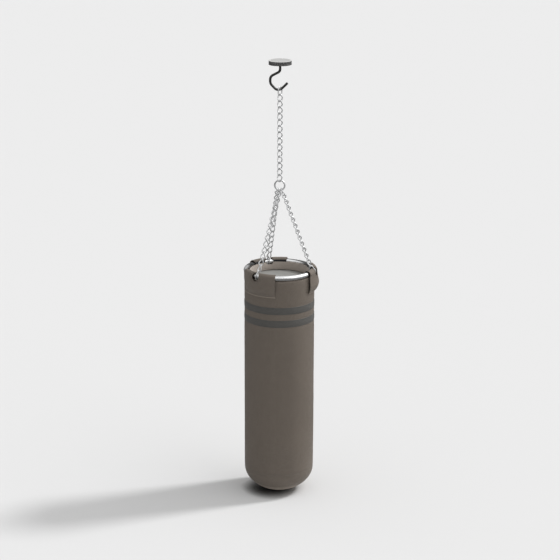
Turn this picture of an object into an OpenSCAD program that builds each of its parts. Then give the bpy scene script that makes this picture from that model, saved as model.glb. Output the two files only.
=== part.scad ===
// Hanging heavy bag on a swivel ceiling plate: plate, hook, chain, ring,
// three bridle chains, steel rim hoop and a stuffed cylindrical bag.
// Millimetres, +Z up, origin at the centre of the ceiling plate's top face.
// +X runs from the bag's axis to the right-hand hanging tab; -Y is the front.

/* [Ceiling plate] */
// Outer diameter of the ceiling plate and its swivel housing
plate_d = 115; // [110:1:140]
// Height of the whole ceiling plate, from the pad's lip to the housing's underside
plate_h = 21; // [21:0.5:26]
// Pitch circle of the four ceiling screws
screw_pcd = 84; // [82:1:86]
// Diameter of each ceiling screw hole
screw_hole_d = 6.8; // [5:0.1:7]
// Width of the raised lip round the top pad
pad_lip = 8.5; // [6:0.5:9]

/* [Hook] */
// Diameter of the hook's round bar
hook_bar_d = 12.5; // [11:0.5:12.5]
// Depth of the hook's bowl below the ceiling, to the bar's centre line
hook_depth = 148.7; // [145:0.1:160]
// Reach of the hook's back to the left of the swivel axis
hook_back = 50; // [48:1:54]

/* [Chain] */
// Wire diameter of the chain links
wire_d = 5.5; // [4.5:0.1:5.5]
// Pitch of the main chain's links
pitch = 31.6; // [31:0.1:34]
// Number of links in the main chain, with the one that holds the ring
main_links = 14; // [10:1:18]
// Links in each bridle chain
bridle_links = 13; // [13:1:13]
// Centre-line half width of a chain link
link_r = 11; // [10.5:0.1:11.5]
// Angle of each link either side of the chain's flat face
link_roll = 35; // [35:1:40]
// Length of the first link, on the hook, along its centre line
hook_link_len = 42.1; // [41:0.1:46]
// Play between the hook's bar and the first link
hook_play = 2.1; // [2.1:0.1:3]
// Running gap between touching links
link_gap = 0.5; // [0.4:0.05:0.8]

/* [Spreader ring] */
// Centre-line diameter of the ring that gathers the bridle chains
ring_d = 51; // [50:0.5:56]
// Wire diameter of the ring
ring_wire_d = 8; // [7:0.5:8]

/* [Rim hoop] */
// Centre-line radius of the steel rim hoop
hoop_r = 170.5; // [168:0.5:171]
// Tube diameter of the rim hoop
hoop_tube_d = 26; // [24:0.5:26]
// Wall thickness of the hoop's tube
hoop_wall = 2; // [1.5:0.5:3]
// Height of the hoop's centre line below the spreader ring's centre
hoop_drop = 443.2; // [440:0.5:450]

/* [Bag] */
// Outer diameter of the bag
bag_d = 356; // [354:1:358]
// Length of the straight part of the bag, from the rim to the dome
bag_len = 1045; // [800:5:1400]
// Height of the domed bottom
dome_h = 131; // [110:1:150]
// Thickness of the outer cover
cover_t = 3; // [2:0.5:3]
// Depth of the lid's top face below the rim
lid_depth = 27; // [24:1:30]
// Thickness of the foam liner behind the cover
foam_t = 18; // [12:1:25]

/* [Stripes] */
// Height of each sewn-on stripe
stripe_h = 37; // [25:1:45]
// Distance from the rim to the top of the upper stripe
stripe_drop = 138; // [120:1:200]
// Gap between the two stripes
stripe_gap = 31; // [15:1:40]

/* [Hanging tabs] */
// Angle that each hanging tab covers round the bag
tab_angle = 66; // [50:1:70]
// Distance from the hoop's centre line to the lower end of a tab
tab_drop = 99; // [90:1:120]
// Thickness of the tab's fabric
tab_t = 3.5; // [2.5:0.5:3.5]
// Diameter of the opening in a tab that lets the end link reach the hoop
tab_hole_d = 48; // [44:1:50]

/* [Hidden] */
$fn = 64;

// colours shared by several nodes
RACE_STEEL = [0.68, 0.68, 0.68];
BRASS = [0.70, 0.53, 0.28];
CHAIN_STEEL = [0.62, 0.62, 0.62];
RING_STEEL = [0.66, 0.66, 0.66];
COVER_BROWN = [0.44, 0.40, 0.36];
STRIPE_GREY = [0.28, 0.27, 0.26];

fit = 0.05;   // clearance between stacked or nested parts
over = 1;     // how far a cutter runs past the face it cuts

// ceiling plate stack
pad_t = 2;
pad_recess = 0.8;
boss_r = 6.5;
boss_h = 1;
boss_edge = 3;            // from a boss's outer end to the plate's edge
seal_t = 1;
seal_inset = 0.9;
seal_in_r = 49.5;
z_seal = -plate_h / 2 + 0.3;
z_house = z_seal - seal_t;
plate_recess_r = 20;
z_plate_recess = -3;
z_nut_top = -3.4;
nut_r = 11;

// housing screws, set between the ceiling screws
house_screw_angle = 45;
house_screw_r = 2;
house_head_r = 3.6;
house_socket_r = 1.6;
head_recess = 0.4;
z_counterbore = -plate_h + 3.5;
z_head_top = z_counterbore - fit;
z_screw_top = -3.6;
z_tapped_top = -3.2;
access_r = 6.5;           // housing holes in line with the ceiling screws

// bearing
bar_r = hook_bar_d / 2;
z_floor = -plate_h + 5.5;
pocket_r = 22;
bush_r = 9;
race_r = 16;
race_t = 1.7;
lower_race_in_r = 7.2;
ball_r = 2;
ball_count = 10;
ball_circle_r = 11.3;
cage_r = 15;
cage_in_r = 7.6;
cage_half_h = 0.7;
z_lower_race = z_floor + fit;
z_balls = z_lower_race + race_t + fit + ball_r;
z_upper_race = z_balls + ball_r + fit;

// hook
bowl_r = 32;
hook_top_z = -3.6;
shank_z = -56.5;
back_slope = 0.54;        // fall of the upper arm for each unit of reach
bowl_start = 20.3;        // left end of the bowl's flat
tip_x = 2.4;              // corner where the tip turns up at 45 degrees
tip_run = 34.9;
level_hook_depth = 137.85;   // hook depth at which the slope below comes to zero
hook_slope = asin((hook_depth - level_hook_depth) / bowl_r);
contact_z = -hook_depth + bowl_r * (1 - cos(hook_slope));

// centre line of the hook's bar: x, z, bend radius
HOOK_LINE = [
    [0, hook_top_z, 0],
    [0, shank_z, 20],
    [-hook_back, shank_z - back_slope * hook_back, 25],
    [-hook_back, -hook_depth + hook_back - bowl_start, 28],
    [-bowl_start, -hook_depth, 21],
    [tip_x, -hook_depth, bowl_r],
    [tip_x + tip_run, -hook_depth + tip_run, 0]];

// chain; each link's height is that of its top wire's centre
wire_r = wire_d / 2;
ring_wire_r = ring_wire_d / 2;
ring_r = ring_d / 2;
link_len = pitch + wire_d + link_gap;
hook_link_roll = 65;
hook_link_r = 16;
ring_link_roll = 60;
z_hook_link = round(10 * (contact_z + (bar_r + wire_r + hook_play) / cos(hook_slope))) / 10;
z_main = z_hook_link - hook_link_len + wire_d + link_gap;
z_ring_link = z_main - (main_links - 1) * pitch;
z_ring = z_ring_link - link_len + wire_r + ring_wire_r + link_gap - ring_r;

// hoop and bag
tube_r = hoop_tube_d / 2;
bag_r = bag_d / 2;
wall_in = bag_r - cover_t;
z_hoop = z_ring - hoop_drop;
z_rim = z_hoop - tube_r - 1.5;
z_dome = z_rim - bag_len;
z_lid = z_rim - lid_depth;
lid_t = 6;
z_collar = z_rim - 55;       // lower edge of the collar lining
z_filling = z_dome - 38;
z_bottom_pad = z_dome - 40;

// bridles, in the order right, rear, front
TAB_AZ = [0, 120, 240];
RING_ANGLE = [26, -26, 0];   // start on the ring, from its lowest point towards +X
RIGHT_ROLLS = [0, 60, -25];  // rolls of the right bridle's first links
end_link_spacing = 22;
end_link_low_r = tube_r + wire_r + 0.5;
end_link_top_r = 9;
end_gap = 0.6;
bridle_top = -(ring_wire_r + wire_r + link_gap);

function bridle_start(k) =
    [ring_r * sin(RING_ANGLE[k]), 0, z_ring - ring_r * cos(RING_ANGLE[k])];
function bridle_end(k) = [hoop_r * cos(TAB_AZ[k]), hoop_r * sin(TAB_AZ[k]), z_hoop];
function bridle_run(k) = bridle_end(k) - bridle_start(k);
function bridle_az(k) = let (run = bridle_run(k)) atan2(run[1], run[0]);
function bridle_tilt(k) = let (run = bridle_run(k)) atan2(norm([run[0], run[1]]), -run[2]);
// distance along the bridle to the end link's top wire
function end_link_at(k) = norm(bridle_run(k)) - end_link_spacing - end_link_top_r;
function bridle_pitch(k) =
    (end_link_at(k) + end_gap - bridle_top - link_gap) / bridle_links;

function alternate_roll(i) = i % 2 == 1 ? link_roll : -link_roll;
// roll of link i: the first link straddles the ring's wire, the rest lie
// to either side of the chain's outward face
function bridle_roll(k, i) =
    k == 0 ? (i < len(RIGHT_ROLLS) ? RIGHT_ROLLS[i] : alternate_roll(i))
    : i == 0 ? -bridle_az(k)
    : (k == 1 ? -1 : 1) * alternate_roll(i);

// general shapes

module tube(r, r_in, z_top, z_low) {
    translate([0, 0, z_low]) difference() {
        cylinder(r = r, h = z_top - z_low, $fn = 128);
        translate([0, 0, -over]) cylinder(r = r_in, h = z_top - z_low + 2 * over, $fn = 128);
    }
}

// an arc of round bar in the XY plane
module bar_arc(r, bar, start, sweep) {
    rotate([0, 0, start]) rotate_extrude(angle = sweep)
        translate([r, 0]) circle(r = bar, $fn = 32);
}

bar_overlap = 0.4;   // how far a straight runs into the bend it meets

// a straight round bar between two points of the XY plane, a hair slimmer than the bends
module bar_line(from, to, bar, into_from = bar_overlap, into_to = bar_overlap) {
    run = to - from;
    translate([from[0], from[1], 0]) rotate([0, 0, atan2(run[1], run[0])]) rotate([0, 90, 0])
        translate([0, 0, -into_from])
            cylinder(r = bar - 0.03, h = norm(run) + into_from + into_to, $fn = 32);
}

function unit(v) = v / norm(v);
function turn(before, corner, after) = acos(unit(corner - before) * unit(after - corner));
function turns_left(before, corner, after) =
    let (u = corner - before, v = after - corner) u[0] * v[1] - u[1] * v[0] > 0;
// distance from a corner to where its bend begins
function setback(before, corner, after, bend) = bend * tan(turn(before, corner, after) / 2);

// a round bar bent along a line of stations [x, y, bend radius]
module bent_bar(stations, bar) {
    points = [for (s = stations) [s[0], s[1]]];
    last = len(points) - 1;
    // setback at each station, nothing at the two ends
    setbacks = [for (i = [0 : last])
        i == 0 || i == last ? 0
        : setback(points[i - 1], points[i], points[i + 1], stations[i][2])];
    for (i = [0 : last - 1]) {
        along = unit(points[i + 1] - points[i]);
        bar_line(points[i] + along * setbacks[i], points[i + 1] - along * setbacks[i + 1], bar,
                 i == 0 ? 0 : bar_overlap, i == last - 1 ? 0 : bar_overlap);
    }
    for (i = [1 : last - 1]) {
        before = points[i - 1];
        corner = points[i];
        after = points[i + 1];
        bend = stations[i][2];
        angle = turn(before, corner, after);
        inward = unit(unit(before - corner) + unit(after - corner));
        centre = corner + inward * bend / cos(angle / 2);
        // arcs sweep anticlockwise, so a right turn starts from its far end
        neighbour = turns_left(before, corner, after) ? before : after;
        start = corner + unit(neighbour - corner) * setbacks[i] - centre;
        translate([centre[0], centre[1], 0])
            bar_arc(bend, bar, atan2(start[1], start[0]), angle);
    }
}

// one link in the XZ plane, its top wire's centre at the origin, hanging down;
// spacing is the distance between the centres of its two ends
module chain_link(low_r, top_r, spacing) {
    taper = asin((low_r - top_r) / spacing);
    rotate([90, 0, 0]) {
        translate([0, -top_r, 0]) bar_arc(top_r, wire_r, taper, 180 - 2 * taper);
        translate([0, -top_r - spacing, 0])
            bar_arc(low_r, wire_r, 180 - taper, 180 + 2 * taper);
        for (side = [-1, 1])
            bar_line([side * top_r * cos(taper), -top_r + top_r * sin(taper)],
                     [side * low_r * cos(taper), -top_r - spacing + low_r * sin(taper)],
                     wire_r);
    }
}

module plain_link(length) {
    chain_link(link_r, link_r, length - 2 * link_r);
}

// four copies on the screw pitch circle
module at_screws(start = 0) {
    for (i = [0 : 3]) rotate([0, 0, start + 90 * i]) translate([screw_pcd / 2, 0, 0]) children();
}

module holes(hole_r, start, z_top, z_low) {
    at_screws(start) translate([0, 0, z_low]) cylinder(r = hole_r, h = z_top - z_low);
}

// ceiling plate, swivel housing and bearing

module isolation_pad() {
    color([0.80, 0.80, 0.79]) difference() {
        union() {
            difference() {
                translate([0, 0, -pad_t]) cylinder(d = plate_d, h = pad_t, $fn = 128);
                translate([0, 0, -pad_recess])
                    cylinder(r = plate_d / 2 - pad_lip, h = 2, $fn = 128);
            }
            // bosses that carry the ceiling screws' holes up to the lip's level
            at_screws() {
                translate([0, 0, -boss_h]) cylinder(r = boss_r, h = boss_h);
                translate([0, -boss_r, -boss_h])
                    cube([plate_d / 2 - boss_edge - screw_pcd / 2, 2 * boss_r, boss_h]);
            }
        }
        holes(screw_hole_d / 2, 0, over, -pad_t - over);
    }
}

module ceiling_plate() {
    color([0.24, 0.24, 0.23]) difference() {
        translate([0, 0, z_seal]) cylinder(d = plate_d, h = -pad_t - z_seal - fit, $fn = 128);
        translate([0, 0, z_seal - over])
            cylinder(r = plate_recess_r, h = z_plate_recess - z_seal + over, $fn = 96);
        holes(screw_hole_d / 2, 0, over, z_seal - over);
        holes(house_screw_r + 0.1, house_screw_angle, z_tapped_top, z_seal - over);
    }
}

module housing_seal() {
    color([0.36, 0.36, 0.35])
        tube(plate_d / 2 - seal_inset, seal_in_r, z_seal - fit, z_house + fit);
}

module swivel_housing() {
    z_cut = -plate_h - over;
    color([0.22, 0.22, 0.21]) difference() {
        translate([0, 0, -plate_h]) cylinder(d = plate_d, h = plate_h + z_house, $fn = 128);
        translate([0, 0, z_floor]) cylinder(r = pocket_r, h = 20, $fn = 96);
        translate([0, 0, z_cut]) cylinder(r = bush_r + fit, h = 20);
        holes(access_r, 0, 0, z_cut);
        holes(house_screw_r + 0.2, house_screw_angle, 0, z_cut);
        holes(house_head_r + 0.3, house_screw_angle, z_counterbore, z_cut);
    }
}

module housing_screws() {
    z_head = -plate_h + head_recess;
    color([0.55, 0.55, 0.54]) at_screws(house_screw_angle) {
        translate([0, 0, z_head_top]) cylinder(r = house_screw_r, h = z_screw_top - z_head_top);
        difference() {
            translate([0, 0, z_head]) cylinder(r = house_head_r, h = z_head_top - z_head);
            translate([0, 0, -plate_h - over]) cylinder(r = house_socket_r, h = 3, $fn = 6);
        }
    }
}

module lower_race() {
    color(RACE_STEEL) tube(race_r, lower_race_in_r, z_lower_race + race_t, z_lower_race);
}

module shank_bush() {
    color(BRASS) tube(bush_r, bar_r + fit, z_floor - fit, -plate_h + 0.2);
}

// a copy at each ball's centre
module at_balls() {
    for (i = [0 : ball_count - 1]) rotate([0, 0, 360 / ball_count * i])
        translate([ball_circle_r, 0, z_balls]) children();
}

module ball_cage() {
    color(BRASS) difference() {
        tube(cage_r, cage_in_r, z_balls + cage_half_h, z_balls - cage_half_h);
        at_balls() translate([0, 0, -ball_r])
            cylinder(r = ball_r + 0.15, h = 2 * ball_r, $fn = 32);
    }
}

module bearing_balls() {
    color([0.8, 0.8, 0.8]) at_balls() sphere(r = ball_r, $fn = 24);
}

module upper_race() {
    color(RACE_STEEL) tube(race_r, bar_r + 0.1, z_upper_race + race_t, z_upper_race);
}

module swivel_nut() {
    z_nut = z_upper_race + race_t + fit;
    color([0.6, 0.6, 0.6]) difference() {
        translate([0, 0, z_nut]) cylinder(r = nut_r, h = z_nut_top - z_nut, $fn = 6);
        translate([0, 0, z_nut - over]) cylinder(r = bar_r + fit, h = 20);
    }
}

// hook, chains and ring

module swing_hook() {
    color([0.17, 0.17, 0.17]) rotate([90, 0, 0]) bent_bar(HOOK_LINE, bar_r);
}

module hook_link() {
    color(CHAIN_STEEL) translate([0, 0, z_hook_link]) rotate([0, 0, hook_link_roll])
        chain_link(hook_link_r, hook_link_r, hook_link_len - 2 * hook_link_r);
}

module main_chain() {
    color(CHAIN_STEEL) for (i = [0 : main_links - 2])
        translate([0, 0, z_main - i * pitch]) rotate([0, 0, alternate_roll(i)])
            plain_link(link_len);
}

module ring_link() {
    color(CHAIN_STEEL) translate([0, 0, z_ring_link])
        rotate([0, 0, main_links % 2 == 0 ? ring_link_roll : -ring_link_roll])
            plain_link(link_len);
}

module spreader_ring() {
    color(RING_STEEL) translate([0, 0, z_ring]) rotate([90, 0, 0])
        rotate_extrude($fn = 96) translate([ring_r, 0]) circle(r = ring_wire_r, $fn = 32);
}

// moves its children onto bridle k, a distance along it, local -Z down the chain
module on_bridle(k, distance) {
    translate(bridle_start(k)) rotate([0, 0, bridle_az(k)]) rotate([0, -bridle_tilt(k), 0])
        translate([0, 0, -distance]) children();
}

module bridle_chain(k) {
    step = bridle_pitch(k);
    color(CHAIN_STEEL) for (i = [0 : bridle_links - 1])
        on_bridle(k, bridle_top + i * step) rotate([0, 0, 90 + bridle_roll(k, i)])
            plain_link(step + wire_d + link_gap);
}

module bridle_chain_right() { bridle_chain(0); }
module bridle_chain_rear() { bridle_chain(1); }
module bridle_chain_front() { bridle_chain(2); }

// link that joins bridle k to the hoop, wider at its lower end
module end_link(k) {
    color(RING_STEEL) on_bridle(k, end_link_at(k))
        chain_link(end_link_low_r, end_link_top_r, end_link_spacing);
}

module end_link_right() { end_link(0); }
module end_link_rear() { end_link(1); }
module end_link_front() { end_link(2); }

// a closed ring of round tube
module rim_hoop() {
    color([0.88, 0.88, 0.87]) translate([0, 0, z_hoop]) rotate_extrude($fn = 128)
        translate([hoop_r, 0]) difference() {
            circle(r = tube_r, $fn = 48);
            circle(r = tube_r - hoop_wall, $fn = 48);
        }
}

// hanging tabs

wrap_x = hoop_r + 2.5;           // centre of the crest over the hoop
wrap_in = tube_r + 3.5;
wrap_out = wrap_in + tab_t;
sewn_r = bag_r + 0.4;            // inner face of a tab's sewn end
sewn_h = 14;
z_tab_low = z_hoop - tab_drop;
z_leg_bend = z_hoop - 66;        // where the outer leg turns in towards the bag
z_lining_low = z_hoop - tube_r - 4;
z_lining_top = z_hoop - 0.2;
opening_len = 80;

// the round opening through a tab and the rim behind it
module tab_opening(k) {
    rotate([0, 0, TAB_AZ[k]]) translate([hoop_r - opening_len / 2, 0, z_hoop])
        rotate([0, 90, 0]) cylinder(d = tab_hole_d, h = opening_len, $fn = 64);
}

// turns a swept section to tab k and cuts the opening
module at_tab(k) {
    difference() {
        rotate([0, 0, TAB_AZ[k] - tab_angle / 2]) children();
        tab_opening(k);
    }
}

function crest_point(r, i) = [wrap_x + r * cos(15 * i), z_hoop + r * sin(15 * i)];

// section of a tab: the outer leg from its sewn end, then the crest over the hoop
TAB_SECTION = concat(
    [[sewn_r, z_tab_low + sewn_h], [sewn_r, z_tab_low], [sewn_r + tab_t, z_tab_low],
     [sewn_r + tab_t, z_tab_low + sewn_h], [wrap_x + wrap_out, z_leg_bend]],
    [for (i = [0 : 12]) crest_point(wrap_out, i)],
    [for (i = [12 : -1 : 0]) crest_point(wrap_in, i)],
    [[wrap_x + wrap_in, z_leg_bend]]);

// outer leg and crest of a tab
module tab(k) {
    color([0.46, 0.42, 0.38]) at_tab(k)
        rotate_extrude(angle = tab_angle, $fn = 128) polygon(TAB_SECTION);
}

// inner leg of a tab: black webbing that turns down inside the hoop
module tab_lining(k) {
    color([0.06, 0.06, 0.06]) at_tab(k)
        rotate_extrude(angle = tab_angle, $fn = 128)
            translate([wrap_x - wrap_out, z_lining_low])
                square([tab_t, z_lining_top - z_lining_low]);
}

module tab_right() { tab(0); }
module tab_rear() { tab(1); }
module tab_front() { tab(2); }
module tab_lining_right() { tab_lining(0); }
module tab_lining_rear() { tab_lining(1); }
module tab_lining_front() { tab_lining(2); }

// bag

module outer_cover() {
    color(COVER_BROWN) difference() {
        tube(bag_r, wall_in, z_rim, z_dome);
        for (k = [0 : 2]) tab_opening(k);
    }
}

// half section of the dome, from its edge to the axis: a corner arc and a
// flatter crown arc that meet on a common tangent
function dome_points(r, h) = let (
        corner_r = 0.59 * r,
        corner_x = r - corner_r,
        crown_r = (corner_x * corner_x + h * h - corner_r * corner_r) / (2 * (h - corner_r)),
        crown_z = crown_r - h,
        join = atan2(corner_x, crown_z))
    concat([for (i = [0 : 10]) let (angle = (90 - join) * i / 10)
                [corner_x + corner_r * cos(angle), -corner_r * sin(angle)]],
           [for (i = [1 : 10]) let (angle = join * (1 - i / 10))
                [crown_r * sin(angle), crown_z - crown_r * cos(angle)]]);

module dome(r, h) {
    translate([0, 0, z_dome - 0.1]) rotate_extrude($fn = 128)
        polygon(concat(dome_points(r, h), [[0, 0]]));
}

module bottom_panel() {
    color(COVER_BROWN) difference() {
        dome(bag_r, dome_h);
        translate([0, 0, 0.01]) dome(wall_in, dome_h - cover_t);
    }
}

// fills the dome below the filling
module bottom_pad() {
    color([0.75, 0.72, 0.6]) difference() {
        translate([0, 0, -0.3]) dome(wall_in - 0.4, dome_h - cover_t - 0.8);
        translate([0, 0, z_bottom_pad]) cylinder(r = 300, h = 60);
    }
}

module stripe(drop) {
    color(STRIPE_GREY) tube(bag_r + 1, bag_r + 0.15, z_rim - drop, z_rim - drop - stripe_h);
}

module stripe_upper() { stripe(stripe_drop); }
module stripe_lower() { stripe(stripe_drop + stripe_h + stripe_gap); }

module collar_lining() {
    color([0.60, 0.56, 0.53]) difference() {
        tube(wall_in - 0.2, wall_in - 2.7, z_rim - 0.5, z_collar);
        for (k = [0 : 2]) tab_opening(k);
    }
}

module top_lid() {
    color([0.56, 0.56, 0.545]) translate([0, 0, z_lid - lid_t])
        cylinder(r = wall_in - 3, h = lid_t, $fn = 128);
}

module foam_liner() {
    color([0.85, 0.83, 0.75]) tube(wall_in - 0.3, wall_in - foam_t, z_collar - 1, z_dome + 2);
}

module filling() {
    color([0.55, 0.52, 0.5]) translate([0, 0, z_filling])
        cylinder(r = wall_in - foam_t - 0.5, h = z_lid - lid_t - 1 - z_filling, $fn = 96);
}

isolation_pad();
ceiling_plate();
housing_seal();
swivel_housing();
housing_screws();
lower_race();
shank_bush();
ball_cage();
bearing_balls();
upper_race();
swivel_nut();
swing_hook();
hook_link();
main_chain();
ring_link();
spreader_ring();
bridle_chain_right();
bridle_chain_rear();
bridle_chain_front();
end_link_right();
end_link_rear();
end_link_front();
rim_hoop();
tab_right();
tab_rear();
tab_front();
tab_lining_right();
tab_lining_rear();
tab_lining_front();
outer_cover();
bottom_panel();
stripe_upper();
stripe_lower();
collar_lining();
top_lid();
foam_liner();
filling();
bottom_pad();
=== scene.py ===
"""A hanging punch bag: a leather cylinder with a domed foot, closed by a lid, hung from a chrome hoop
by three tabs and three bridle chains, under a main chain, a swing hook and a ceiling plate.

Metres, +Z up. The bag's axis is the z axis and the ceiling plate is near z = 0, so the bag hangs at
negative z. The front is -y and right is +x. Azimuths run anticlockwise from +x; the three tabs are
right (0 degrees), rear (120) and front (240).
"""
import math
from functools import cached_property

import bmesh
import bpy
import numpy as np
from mathutils import Matrix, Quaternion, Vector, noise
from mathutils.bvhtree import BVHTree


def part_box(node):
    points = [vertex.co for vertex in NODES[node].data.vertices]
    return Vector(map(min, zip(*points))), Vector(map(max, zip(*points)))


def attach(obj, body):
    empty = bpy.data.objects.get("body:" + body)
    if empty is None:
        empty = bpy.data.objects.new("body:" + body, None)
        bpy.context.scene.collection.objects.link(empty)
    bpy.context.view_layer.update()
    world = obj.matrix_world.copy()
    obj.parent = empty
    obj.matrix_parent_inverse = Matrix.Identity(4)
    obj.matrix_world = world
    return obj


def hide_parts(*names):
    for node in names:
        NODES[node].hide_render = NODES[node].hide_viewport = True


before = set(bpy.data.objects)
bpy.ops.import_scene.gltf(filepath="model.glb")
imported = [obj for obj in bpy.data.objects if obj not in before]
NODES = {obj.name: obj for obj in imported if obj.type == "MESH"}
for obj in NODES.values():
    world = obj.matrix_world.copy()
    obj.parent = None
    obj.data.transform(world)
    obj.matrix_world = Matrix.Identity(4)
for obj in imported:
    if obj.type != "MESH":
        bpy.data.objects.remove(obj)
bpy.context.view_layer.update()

MM = 0.001
SCENE = bpy.context.scene

# ---------------------------------------------------------------- dimensions
# driving sizes come from the CAD boxes
HOOP_LOW, HOOP_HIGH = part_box("rim_hoop")
Z_HOOP = (HOOP_LOW.z + HOOP_HIGH.z) / 2
HOOP_TUBE_R = (HOOP_HIGH.z - HOOP_LOW.z) / 2
HOOP_R = HOOP_HIGH.x - HOOP_TUBE_R

COVER_LOW, COVER_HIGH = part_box("outer_cover")
BAG_R = COVER_HIGH.y
Z_RIM, Z_DOME = COVER_HIGH.z, COVER_LOW.z
WALL_H = Z_RIM - Z_DOME
COVER_T = 3 * MM
WALL_IN = BAG_R - COVER_T
Z_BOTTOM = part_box("bottom_panel")[0].z
DOME_H = Z_DOME - 0.1 * MM - Z_BOTTOM
REST_Z = Z_BOTTOM + 0.3 * MM      # where the foot flattens
SEAM_AZ = math.radians(60)        # back seam
STRIPES = [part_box("stripe_upper"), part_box("stripe_lower")]

TAB_LOW, TAB_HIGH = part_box("tab_right")
TAB_T = 3.5 * MM
WRAP_X = HOOP_R + 2.5 * MM        # centre of the tab's bend over the hoop
WRAP_OUT = TAB_HIGH.z - Z_HOOP
WRAP_MID = ((WRAP_OUT - TAB_T) + WRAP_OUT) / 2
Z_TAB_LOW = TAB_LOW.z
TAB_HALF = math.radians(33)
HOLE_R = 24 * MM                  # round opening in each tab, centred on the hoop
TAB_AZ = [math.radians(angle) for angle in (0, 120, 240)]
TAB_NAMES = ["right", "rear", "front"]
RIGHT, REAR, FRONT = range(3)
Z_WEBBING_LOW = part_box("tab_lining_right")[0].z

LID_LOW, LID_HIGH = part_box("top_lid")
COLLAR_LOW, COLLAR_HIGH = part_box("collar_lining")
BINDING_IN, BINDING_OUT = WALL_IN - 3.4 * MM, BAG_R + 0.1 * MM

SUN_AZ, SUN_EL = math.radians(30), math.radians(44)

# ---------------------------------------------------------------- node builders


class Graph:
    """Adds shader nodes to a tree. An input may be a socket, a number or an RGB tuple."""

    def __init__(self, tree):
        self.tree = tree
        tree.nodes.clear()

    def put(self, socket, value):
        if value is None:
            return
        if isinstance(value, bpy.types.NodeSocket):
            self.tree.links.new(value, socket)
        elif isinstance(value, tuple):
            socket.default_value = (*value, 1)
        else:
            socket.default_value = value

    def node(self, kind, inputs=None, **settings):
        made = self.tree.nodes.new("ShaderNode" + kind)
        for key, value in settings.items():
            setattr(made, key, value)
        for key, value in (inputs or {}).items():
            self.put(made.inputs[key], value)
        return made

    def math(self, operation, a, b=None, c=None, clamp=False):
        made = self.node("Math", {0: a, 1: b, 2: c}, operation=operation, use_clamp=clamp)
        return made.outputs[0]

    def xyz(self, vector):
        return self.node("SeparateXYZ", {0: vector}).outputs

    def remap(self, value, low, high, start=0.0, end=1.0, smooth=True):
        inputs = {"Value": value, "From Min": low, "From Max": high,
                  "To Min": start, "To Max": end}
        kind = "SMOOTHSTEP" if smooth else "LINEAR"
        return self.node("MapRange", inputs, interpolation_type=kind, clamp=True).outputs[0]


class Mat(Graph):
    """A material round one Principled shader."""

    SOCKETS = {"color": "Base Color", "rough": "Roughness", "metal": "Metallic",
               "normal": "Normal", "spec": "Specular IOR Level",
               "sheen": "Sheen Weight", "sheen_rough": "Sheen Roughness"}

    def __init__(self, name):
        self.material = bpy.data.materials.new(name)
        self.material.use_nodes = True
        super().__init__(self.material.node_tree)
        self.out = self.node("OutputMaterial")
        self.bsdf = self.node("BsdfPrincipled")
        self.put(self.out.inputs[0], self.bsdf.outputs[0])

    @cached_property
    def coord(self):
        return self.node("TexCoord").outputs["Object"]

    def set(self, **values):
        for key, value in values.items():
            self.put(self.bsdf.inputs[self.SOCKETS[key]], value)
        return self.material

    def mul(self, a, b):
        return self.math("MULTIPLY", a, b)

    def add(self, a, b, clamp=False):
        return self.math("ADD", a, b, clamp=clamp)

    def sub(self, a, b, clamp=False):
        return self.math("SUBTRACT", a, b, clamp=clamp)

    def ramp(self, value, gain, start, clamp=False):
        return self.math("MULTIPLY_ADD", value, gain, start, clamp=clamp)

    def weigh(self, *terms):
        """Sum of (value, weight) terms."""
        total = None
        for value, weight in terms:
            term = self.mul(value, weight)
            total = term if total is None else self.add(total, term)
        return total

    def sine(self, value, rate):
        return self.math("SINE", self.mul(value, rate))

    def combine(self, x, y, z):
        return self.node("CombineXYZ", {0: x, 1: y, 2: z}).outputs[0]

    def point(self):
        return self.xyz(self.coord)

    def warp(self, x, y, z, amount):
        """The object coordinate, pushed about by three fields."""
        push = self.node("VectorMath", {0: self.combine(x, y, z), "Scale": amount},
                         operation="SCALE")
        return self.node("VectorMath", {0: self.coord, 1: push.outputs[0]},
                         operation="ADD").outputs[0]

    def noise(self, scale, detail=3.0, rough=0.5, distort=0.0, vector=None):
        inputs = {"Vector": self.coord if vector is None else vector, "Scale": scale,
                  "Detail": detail, "Roughness": rough, "Distortion": distort}
        return self.node("TexNoise", inputs).outputs["Fac"]

    def voronoi(self, scale, feature="F1", rand=1.0, vector=None, out="Distance"):
        inputs = {"Vector": self.coord if vector is None else vector, "Scale": scale,
                  "Randomness": rand}
        return self.node("TexVoronoi", inputs, feature=feature).outputs[out]

    def mix(self, mask, under, over, blend="MIX"):
        return self.node("Mix", {0: mask, 6: under, 7: over}, data_type="RGBA",
                         blend_type=blend, clamp_factor=True).outputs[2]

    def tint(self, tone, over, mask, amount):
        return self.mix(self.mul(mask, amount), tone, over)

    def spread(self, base, mask, low, high):
        """From low times the base colour to high times it, by the mask."""
        return self.mix(mask, shade(base, low), shade(base, high))

    def pointy(self):
        return self.node("NewGeometry").outputs["Pointiness"]

    def bump(self, height, strength, distance, normal=None):
        inputs = {"Strength": strength, "Distance": distance, "Height": height,
                  "Normal": normal}
        return self.node("Bump", inputs).outputs[0]

    def polar(self, radius):
        """(arc length round the bag's axis, height), for a pattern that wraps round."""
        x, y, z = self.point()
        return self.mul(self.math("ARCTAN2", y, x), radius), z

    def weave(self, across, up, rate, up_ratio=1.0):
        """Crossed threads, 0 to 1."""
        across = self.sine(across, rate)
        up = self.sine(up, rate * up_ratio)
        return self.ramp(self.mul(across, up), gain=0.5, start=0.5)


def shade(color, gain, lift=0.0):
    return tuple(min(1.0, value * gain + lift) for value in color)


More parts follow.
